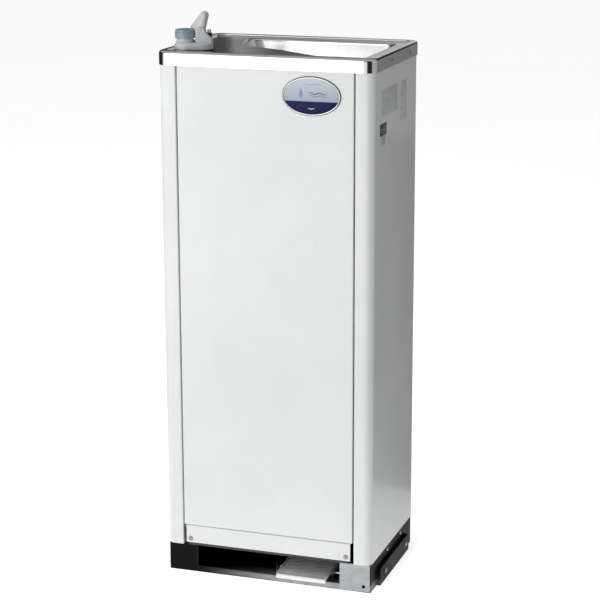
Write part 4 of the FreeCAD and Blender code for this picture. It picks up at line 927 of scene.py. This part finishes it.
def makeBadge(part):
    x, y, z = part["centre"]
    wide, tall = part["half"]

    def oval(inset, out, steps=128):
        return [Vector((x + (wide - inset) * math.cos(a), y - out, z + (tall - inset) * math.sin(a)))
                for a in (2 * math.pi * k / steps for k in range(steps))]

    rim, rise = part["rim"], part["rimRise"]
    rings = [oval(0.0, 0.0), oval(0.0, rise * 0.45)]
    rings += [oval(rim / 2 - rim / 2 * math.cos(a), rise * (0.45 + 0.55 * math.sin(a)))
              for a in (math.pi * k / 12 for k in range(1, 12))]
    rings += [oval(rim, rise * 0.45), oval(rim, 0.0)]
    makePiece("badgeRing", loft(rings, joined=True), "chromePlate", "cabinet", ("badge_rim",),
              sharp=50)

    rings = [oval(-1.0, 0.0), oval(-1.0, 0.25), oval(-0.8, 0.4), oval(0.3, 0.4), oval(0.3, 0.0)]
    makePiece("badgeSeat", loft(rings, joined=True), "mouldedRubber", "cabinet", sharp=50)

    base, dome = part["face"], part["dome"]
    rings = [oval(rim + 0.05, 0.0), oval(rim + 0.05, base * 0.9)]
    for k in range(1, 22):
        share = k / 22
        reach = 1 - share
        rings.append([Vector((x + (wide - rim - 0.05) * reach * math.cos(a),
                              y - base - dome * (1 - reach ** 2),
                              z + (tall - rim - 0.05) * reach * math.sin(a)))
                      for a in (2 * math.pi * j / 128 for j in range(128))])
    makePiece("badgeDome", loft(rings), badgePrint(part), "cabinet", ("badge_face",),
              sharp=50)

    def onDome(u, v, lift):
        reach = math.hypot(u / (wide - rim), v / (tall - rim))
        return Vector((x + u, y - base - dome * (1 - min(reach, 1) ** 2) - lift, z + v))

    def decal(name, outline, colour, thick=0.14):
        # a thin raised patch that follows the dome
        count = len(outline)
        middle = Vector((sum(p.x for p in outline) / count, sum(p.y for p in outline) / count))
        rings = [[onDome(p.x, p.y, lift) for p in outline] for lift in (-0.1, thick * 0.7)]
        for share in (0.97, 0.6, 0.25):
            rings.append([onDome(*(middle.lerp(p, share)), thick) for p in outline])
        makePiece(name, loft(rings), inkMaterial(name + "Ink", colour), "cabinet", sharp=60)

    drop = []
    for k in range(64):
        a = 2 * math.pi * k / 64
        drop.append(Vector((4.6 * math.sin(a) * math.sin(a / 2) ** 1.6 - 17, 7.5 * math.cos(a) + 5.2)))
    decal("badgeDroplet", drop[::-1], part["mark"])

    def band(left, right, level, rise, thick, waves):
        upper, lower = [], []
        for k in range(61):
            share = k / 60
            u = left + (right - left) * share
            v = level + rise * math.sin(2 * math.pi * waves * share)
            body = thick * (0.35 + 0.65 * math.sin(math.pi * share))
            upper.append(Vector((u, v + body / 2)))
            lower.append(Vector((u, v - body / 2)))
        return lower + upper[::-1]

    for index, (*run, ink) in enumerate(part["waves"]):
        outline = band(*run)
        count = len(outline) // 2
        rows = []
        for lift, share in ((-0.1, 1.0), (0.1, 1.0), (0.14, 0.86)):
            row = []
            for k, p in enumerate(outline):
                other = outline[len(outline) - 1 - k]
                q = p.lerp(other, (1 - share) / 2)
                row.append(onDome(q.x, q.y, lift))
            rows.append(row)
        points, faces = loft(rows, caps=False)
        total = len(outline)
        for start, flip in ((0, False), (2 * total, True)):
            for k in range(count - 1):
                quad = (start + k, start + k + 1, start + total - 2 - k, start + total - 1 - k)
                faces.append(quad if flip else quad[::-1])
        makePiece(f"badgeWave{index}", (points, faces), inkMaterial(f"badgeWave{index}Ink", part[ink]),
                  "cabinet", sharp=60)
    print("badge: ring, dome and mark")


makeBadge(badgeShape)


# Side labels: plain ruled plates with no wording

labelShape = {
    "wall": 179.0, "thick": 0.28,
    "plates": [
        # y, z, width, height, film, ink, rows of ruled marks
        (-88, 782, 92, 43, "#C3C5C9", "#8A8C91", 6),
        (20, 761, 38, 64, "#C6C8CC", "#55575C", 5),
        (-94, 753, 37, 19, "#3A3B3E", "#A0A2A6", 3),
        (-88, 736.5, 24, 16.5, "#B4B6BA", "#8D8F94", 2),
    ],
}


def ruledFilm(name, plate):
    # printed polyester film: satin, with rows of short bars where lines of print would be
    y, z, width, height, film, ink, rows = plate
    look = dict(tones=(film, film), toneSize=30, roughness=(0.32, 0.46), grain=(0.6, 0.6, 0.6),
                grainDepth=0.004, grainTone=0.03, ior=1.5)
    material = surface(name, look)
    tree = material.node_tree
    shader = tree.nodes["Principled BSDF"]
    base = shader.inputs["Base Color"].links[0].from_socket
    place = addNode(tree, "TexCoord").outputs["Object"]
    start = addNode(tree, "VectorMath", {0: place, 1: (0, (y + 3) * mm, (z + 3) * mm)},
                    operation="SUBTRACT").outputs[0]
    axes = addNode(tree, "SeparateXYZ", {"Vector": start})
    pitch = (height - 6) / rows
    turn = addNode(tree, "CombineXYZ", {"X": axes.outputs["Y"], "Y": axes.outputs["Z"]}).outputs[0]
    bars = addNode(tree, "TexBrick", {"Vector": turn, "Color1": (1, 1, 1, 1), "Color2": (0, 0, 0, 1),
                                      "Mortar": (0, 0, 0, 1), "Scale": 1.0,
                                      "Mortar Size": pitch * mm * 0.27,
                                      "Mortar Smooth": 0.1, "Bias": 0.15, "Brick Width": 7.5 * mm,
                                      "Row Height": pitch * mm}, offset=0.37, squash=0.7).outputs["Color"]
    axesInside = []
    for axis, size in (("Y", width - 6), ("Z", height - 6)):
        inside = addNode(tree, "Math", {0: axes.outputs[axis], 1: size * mm / 2, 2: size * mm / 2},
                         operation="COMPARE").outputs[0]
        axesInside.append(inside)
    inside = addNode(tree, "Math", {0: axesInside[0], 1: axesInside[1]}, operation="MULTIPLY").outputs[0]
    amount = addNode(tree, "Math", {0: bars, 1: inside}, operation="MULTIPLY").outputs[0]
    tone = addNode(tree, "MixRGB", {"Fac": amount, "Color1": base, "Color2": linear(ink)}).outputs["Color"]
    tree.links.new(tone, shader.inputs["Base Color"])
    return material


def makeLabels(part):
    for index, plate in enumerate(part["plates"]):
        y, z, width, height = plate[:4]
        outline = rounded(rectangle((y, z), (y + width, z + height), 1.6), 12)
        inner = rounded(rectangle((y + 0.12, z + 0.12), (y + width - 0.12, z + height - 0.12), 1.5), 12)
        wall, thick = part["wall"], part["thick"]
        rings = [[Vector((out, p.x, p.y)) for p in line] for line, out in (
            (outline, wall), (outline, wall + thick * 0.6), (inner, wall + thick))]
        makePiece(f"sideLabel{index}", loft(rings), ruledFilm(f"ruledFilm{index}", plate), "cabinet",
                  ("side_labels",) if index == 0 else (), sharp=60)
    print("labels:", len(part["plates"]))


makeLabels(labelShape)


# Back fittings: threaded inlet, barbed drain stub, cord gland and thermostat knob

fittingShape = {
    "inlet": (-120, 420), "inletRadius": 10.5, "threadPitch": 1.8, "threadDepth": 0.9,
    "drain": (118, 120), "gland": (52, 290), "knob": (-60, 560), "wall": 128.7,
}


def facingBack(x, z):
    # local Z points out of the back
    return Matrix.Translation((x, 0, z)) @ Matrix.Rotation(-math.pi / 2, 4, "X")


def makeFittings(part):
    wall = part["wall"]
    x, z = part["inlet"]
    steps, pitch, depth, radius = 72, part["threadPitch"], part["threadDepth"], part["inletRadius"]
    rows = []
    low, high = wall + 2.5, 149.6
    count = int((high - low) / pitch * 10)
    for row in range(count + 1):
        height = low + (high - low) * row / count
        ring = []
        fade = min(1.0, (height - low) / 1.5, (high - height) / 1.2)
        for k in range(steps):
            phase = (height / pitch - k / steps) % 1
            ridge = 1 - abs(phase * 2 - 1)
            reach = radius - depth * max(fade, 0) * (1 - ridge)
            a = 2 * math.pi * k / steps
            ring.append(Vector((reach * math.cos(a), reach * math.sin(a), height)))
        rows.append(ring)

    before = ((6.5, 106), (9, 106), (9, wall - 0.2), (radius, wall), (radius, wall + 2.2))
    after = ((radius - 0.9, 150.4), (radius - 1.4, 150.7), (6.9, 150.7), (6.5, 150.3), (6.5, 130))
    rings = [circle(*level, steps) for level in before] + rows + [circle(*level, steps) for level in after]
    stub = loft(rings, joined=True)
    hexagon = [Vector((16 * math.cos(math.pi / 3 * k), 16 * math.sin(math.pi / 3 * k))) for k in range(6)]
    inner = rounded([(p.x, p.y, 0.5) for p in hexagon], 20)
    angles = np.array(sorted({round(math.atan2(p.y, p.x), 5) for p in inner}
                             | {round(math.radians(a), 5) for a in range(-180, 180, 6)}))
    outer = castRing(inner, (0, 0), angles)
    bore = [Vector((9.02 * math.cos(a), 9.02 * math.sin(a))) for a in angles]
    nutRings = [[Vector((p.x, p.y, h)) for p in ring] for ring, h in (
        (bore, 120.2), (outer, 120.2), (outer, 127.2), (bore, 127.2))]
    nut = loft(nutRings, joined=True)
    makePiece("waterInlet", moved(combined(stub, nut), facingBack(x, z)), "turnedBrass", "cabinet",
              ("inlet_fitting",), sharp=34)

    x, z = part["drain"]
    profile = [(9.9, 126.1), (12.4, 126.1), (12.4, wall), (13.0, wall + 0.1), (13.0, 135.4), (12.3, 136.2),
               (12.3, 137.0), (13.0, 138.2), (13.0, 141.6), (12.3, 142.4), (12.3, 143.2), (13.0, 144.4),
               (13.0, 148.6), (12.2, 149.9), (11.6, 150.0), (10.4, 150.0), (9.9, 149.5)]
    makePiece("drainStub", moved(closedLathe(profile, 72), facingBack(x, z)), "greyPvc", "cabinet",
              ("drain_outlet",), sharp=34)

    x, z = part["gland"]
    profile = [(4.0, 116.0), (8.0, 116.0), (8.0, 128.8), (11.6, 128.8), (12.0, 129.2), (12.0, 131.2),
               (11.5, 131.8), (9.4, 131.8, 0.0), (9.2, 132.4, 0.5), (8.6, 138.6, 0.6), (8.0, 140.0, 0.2),
               (6.9, 141.4), (6.5, 141.8), (4.4, 141.8), (4.0, 141.3)]
    makePiece("cordGland", moved(closedLathe(profile, 96, 16), facingBack(x, z)), "blackNylon", "cabinet",
              ("cord_gland",), sharp=34)

    x, z = part["knob"]
    profile = [(14.0, 129.5), (14.0, 130.6, 0.0), (13.9, 131.4, 0.9), (13.4, 138.6, 0.9),
               (12.8, 139.8, 0.3), (11.8, 140.35), (0.6, 140.4)]
    grip = lathe(profile, 144, 24)
    shaft = lathe([(3.0, 114.1), (3.0, 129.6)], 32)
    pointer = rounded(rectangle((-0.9, 3.0), (0.9, 12.4), 0.85), 20)
    ridge = rounded(rectangle((-0.6, 3.3), (0.6, 12.1), 0.55), 20)
    rings = [[Vector((p.x, p.y, h)) for p in ring] for ring, h in (
        (pointer, 140.0), (pointer, 141.0), (ridge, 141.3))]
    matrix = facingBack(x, z)
    makePiece("dialKnob", moved(combined(grip, shaft), matrix), "blackNylon", "thermostat_dial",
              ("thermostat_knob",), sharp=34)
    turn = Matrix.Translation((x, 0, z)) @ Matrix.Rotation(math.pi / 2, 4, "X")
    turn = turn @ Matrix.Scale(-1, 4, (0, 0, 1))
    makePiece("dialPointer", moved(loft(rings), turn), inkMaterial("pointerInk", "#DCDDDD"),
              "thermostat_dial", sharp=40)
    plate = closedLathe([(15.2, wall), (24.5, wall), (24.5, wall + 0.25), (24.2, wall + 0.35),
                         (15.5, wall + 0.35), (15.2, wall + 0.25)], 96)
    makePiece("dialPlate", moved(plate, matrix), inkMaterial("dialPlateInk", "#C9CBCC"), "cabinet",
              sharp=40)
    marks = []
    for index in range(11):
        angle = math.radians(-135 + 27 * index)
        long = 5.4 if index % 5 == 0 else 3.4
        mark = rounded(rectangle((-0.4, 22.8 - long), (0.4, 22.8), 0.3), 30)
        spin = [turned(p, -angle) for p in mark]
        marks.append(loft([[Vector((p.x, p.y, h)) for p in spin] for h in (wall + 0.2, wall + 0.5)]))
    makePiece("dialMarks", moved(combined(*marks), turn), inkMaterial("dialMarksInk", "#1C1D1F"), "cabinet",
              sharp=40)
    print("fittings: inlet, drain, gland, dial")


makeFittings(fittingShape)


# CAD nodes that stay: their finish, and the width in mm of the soft edge each one gets

keptNodes = {
    "base_frame": ("powderCoatPaintedSheen", 0.35), "side_foot_left": ("powderCoatPaintedSheen", 0.3),
    "side_foot_right": ("powderCoatPaintedSheen", 0.3), "pedal_bracket_right": ("zincPlate", 0.25),
    "pedal_bracket_left": ("powderCoatPaintedSheen", 0.25), "pedal_rod": ("chromePlate", 0.2),
    "pedal_valve_body": ("turnedBrass", 0.3), "pedal_valve_plunger": ("hairlineStainless", 0),
    "rear_panel": ("galvanisedSheet", 0.25), "chassis_shelf": ("stoveEnamel", 0.25),
    "tank_shelf": ("galvanisedSheet", 0.25), "drain_strainer": ("hairlineStainless", 0.2),
    "drain_cup": ("chromePlate", 0.3), "drain_pipe": ("greyPvc", 0),
    "button_stem": ("hairlineStainless", 0.2),
    "bubbler_shank": ("turnedBrass", 0.2), "bubbler_locknut": ("turnedBrass", 0.3),
    "compressor": ("stoveEnamel", 0), "compressor_feet": ("zincPlate", 0.3),
    "compressor_grommets": ("mouldedRubber", 0.6), "terminal_cover": ("blackNylon", 0.5),
    "condenser": ("extrudedAluminium", 0), "fan_shroud": ("zincPlate", 0.2),
    "fan_motor": ("stoveEnamel", 0.5),
    "fan_blade": ("blackNylon", 0.15), "cooling_tank": ("hairlineStainless", 0),
    "evaporator_coil": ("drawnCopper", 0), "tank_insulation": ("mouldedFoam", 1.2),
    "filter_drier": ("drawnCopper", 0), "refrigerant_pipes": ("drawnCopper", 0),
    "supply_pipes": ("drawnCopper", 0),
    "thermostat_body": ("blackNylon", 0.5), "terminal_box": ("mouldedGreyAbs", 1.0),
}


def dressNode(name, finish, soft):
    item = nodes[name]
    for entry in item.material_slots:
        entry.material = materials[finish]
    if not item.material_slots:
        item.data.materials.append(materials[finish])
    if not soft:
        return
    weld = item.modifiers.new("weld", "WELD")
    weld.merge_threshold = 0.002 * mm
    flat = item.modifiers.new("flat", "DECIMATE")
    flat.decimate_type = "DISSOLVE"
    flat.angle_limit = math.radians(0.8)
    addBevel(item, soft)
    even = item.modifiers.new("even", "WEIGHTED_NORMAL")
    even.weight = 100
    even.keep_sharp = False


for name, (finish, soft) in keptNodes.items():
    dressNode(name, finish, soft)
print("kept nodes:", len(keptNodes))


# Stage: a pale floor and wall, soft lights, cards for the reflections, and the camera

stageShape = {
    "floor": 16.0, "camera": (1.02007, -2.98485, 1.25767), "yaw": 18.61, "pitch": 14.3, "roll": -0.15,
    "lens": 116.7, "sensor": 36.0, "wallHeight": 14.0, "wallGlow": 0.96, "floorGlow": 0.72,
    "sky": 0.45, "skyTop": (-0.55, -0.55, 0.62),
    "lights": [
        # name, power, size, position, target, seen in reflections
        ("keyLight", 10.5, (1.2, 1.55), (-0.9, -1.78, 0.86), (-0.12, 0, 0.6), True),
        ("leftFill", 6, (0.8, 0.8), (-1.5, -0.45, 1.35), (-0.13, -0.09, 0.9), False),
        ("topLight", 24, (2.4, 2.8), (-0.9, -0.3, 3.6), (0, 0, 0), False),
    ],
    "cards": [
        # name, lowest corner, highest corner, glow at the near and far end, seen by diffuse light too
        ("rightWall", (0.75, -0.9, 0.0), (0.75, 2.6, 2.4), (0.56, 0.0), True),
        ("rightRear", (0.21, 0.36, 0.0), (0.60, 0.40, 1.6), (0.01, 0.01), True),
        ("rightBand", (0.21, 0.34, 0.68), (0.60, 0.36, 0.90), (0.20, 0.16), False),
        ("rightFloor", (0.20, -0.30, 0.004), (0.74, 0.8, 0.004), (1.1, 0.3), True),
        ("rightFlag", (0.36, -0.72, 0.0), (0.80, -0.30, 1.1), (0.01, 0.01), False),
        ("leftFlag", (-0.85, -0.55, 0.0), (-0.85, 0.9, 1.2), (0.01, 0.01), False),
        ("backDim", (-1.6, 1.5, 1.0), (-0.665, 1.5, 1.9), (0.05, 0.05), False),
        ("backLeft", (-0.665, 1.5, 1.0), (-0.56, 1.5, 1.9), (0.34, 0.12), False),
        ("backMiddle", (-0.56, 1.5, 1.0), (-0.36, 1.5, 1.9), (0.09, 0.16), False),
        ("backRight", (-0.36, 1.5, 1.0), (1.2, 1.5, 1.9), (0.55, 0.55), False),
    ],
}


def emptyTree(owner):
    owner.use_nodes = True
    owner.node_tree.nodes.clear()
    return owner.node_tree


def stageObject(name, points, faces, material):
    mesh = bpy.data.meshes.new(name)
    mesh.from_pydata(points, [], faces)
    mesh.materials.append(material)
    return addObject(name, mesh)


def makeFloor(size, glow):
    # matt seamless studio floor, barely mottled
    look = dict(tones=("#F3F3F3", "#F8F8F8"), toneSize=700, roughness=(0.85, 0.95), grain=(4, 4, 4),
                grainDepth=0.02, grainTone=0.006, wave=(400, 0.02))
    material = surface("seamlessFloor", look)
    shader = material.node_tree.nodes["Principled BSDF"]
    shader.inputs["Emission Color"].default_value = (1, 1, 1, 1)
    shader.inputs["Emission Strength"].default_value = glow
    steps = 96
    floor = stageObject("studioFloor", circle(size, -0.0002, steps), [tuple(range(steps))], material)


def makeBackdrop(size, height, glow):
    # a pale wall all round, far off, so low views end in white; it lights nothing and mirrors in nothing
    material = bpy.data.materials.new("backdropCloth")
    tree = emptyTree(material)
    shine = addNode(tree, "Emission", {"Strength": glow})
    addNode(tree, "OutputMaterial", {"Surface": shine.outputs[0]})
    points, faces = loft([circle(size, z, 64) for z in (-0.01, height)], caps=False)
    wall = stageObject("studioWall", points, faces, material)
    wall.visible_diffuse = wall.visible_glossy = wall.visible_transmission = False
    wall.visible_shadow = False


def makeCard(name, low, high, glow, wide):
    # a card that only reflections see, or diffuse light too; its glow fades from end to end
    material = bpy.data.materials.new(name + "Cloth")
    tree = emptyTree(material)
    spot = addNode(tree, "TexCoord").outputs["Object"]
    start, end = Vector((low[0], low[1], 0)), Vector((high[0], high[1], 0))
    run = (end - start) / (end - start).length_squared
    share = addNode(tree, "VectorMath", {0: spot, 1: tuple(-start)}, operation="ADD").outputs[0]
    share = addNode(tree, "VectorMath", {0: share, 1: tuple(run)}, operation="DOT_PRODUCT")
    level = addNode(tree, "MapRange", {"Value": share.outputs["Value"], "To Min": glow[0],
                                       "To Max": glow[1]}).outputs["Result"]
    shine = addNode(tree, "Emission", {"Strength": level})
    addNode(tree, "OutputMaterial", {"Surface": shine.outputs[0]})
    isFlat = low[2] == high[2]
    corners = [(low[0], low[1], low[2]), (high[0], low[1] if isFlat else high[1], low[2]),
               (high[0], high[1], high[2]), (low[0], high[1] if isFlat else low[1], high[2])]
    card = stageObject(name, corners, [(0, 1, 2, 3)], material)
    card.visible_camera = False
    card.visible_diffuse = wide
    card.visible_shadow = False


def makeStage(part):
    makeFloor(part["floor"], part["floorGlow"])
    makeBackdrop(part["floor"] * 0.99, part["wallHeight"], part["wallGlow"])
    for name, power, size, spot, target, mirrored in part["lights"]:
        lamp = bpy.data.lights.new(name, "AREA")
        lamp.shape = "RECTANGLE"
        lamp.size, lamp.size_y = size
        lamp.energy = power
        light = addObject(name, lamp)
        light.location = spot
        light.rotation_euler = (Vector(target) - Vector(spot)).to_track_quat("-Z", "Y").to_euler()
        light.visible_camera = False
        light.visible_glossy = mirrored
    for card in part["cards"]:
        makeCard(*card)
    world = bpy.data.worlds.new("studio")
    tree = emptyTree(world)
    toward = addNode(tree, "TexCoord").outputs["Generated"]
    lean = addNode(tree, "VectorMath", {0: toward, 1: part["skyTop"]}, operation="DOT_PRODUCT")
    tone = addNode(tree, "MapRange", {"Value": lean.outputs["Value"], "From Min": -0.6, "From Max": 0.9})
    tone = addNode(tree, "ValToRGB", {"Fac": tone.outputs["Result"]}, stops=[
        (0.0, 0.04), (1.0, 1.0), (0.35, 0.12), (0.65, 0.5)])
    sky = addNode(tree, "Background", {"Color": tone.outputs["Color"], "Strength": part["sky"]})
    addNode(tree, "OutputWorld", {"Surface": sky.outputs[0]})
    scene.world = world

    lens = bpy.data.cameras.new("camera")
    lens.lens = part["lens"]
    lens.sensor_width = part["sensor"]
    lens.clip_end = 100
    camera = addObject("camera", lens)
    turn = Matrix.Rotation(math.radians(part["yaw"]), 4, "Z")
    tip = Matrix.Rotation(math.radians(90 - part["pitch"]), 4, "X")
    roll = Matrix.Rotation(math.radians(part["roll"]), 4, "Z")
    camera.matrix_world = Matrix.Translation(part["camera"]) @ turn @ tip @ roll
    scene.camera = camera
    scene.view_settings.view_transform = "Standard"
    print("stage: floor, lights, camera")


makeStage(stageShape)
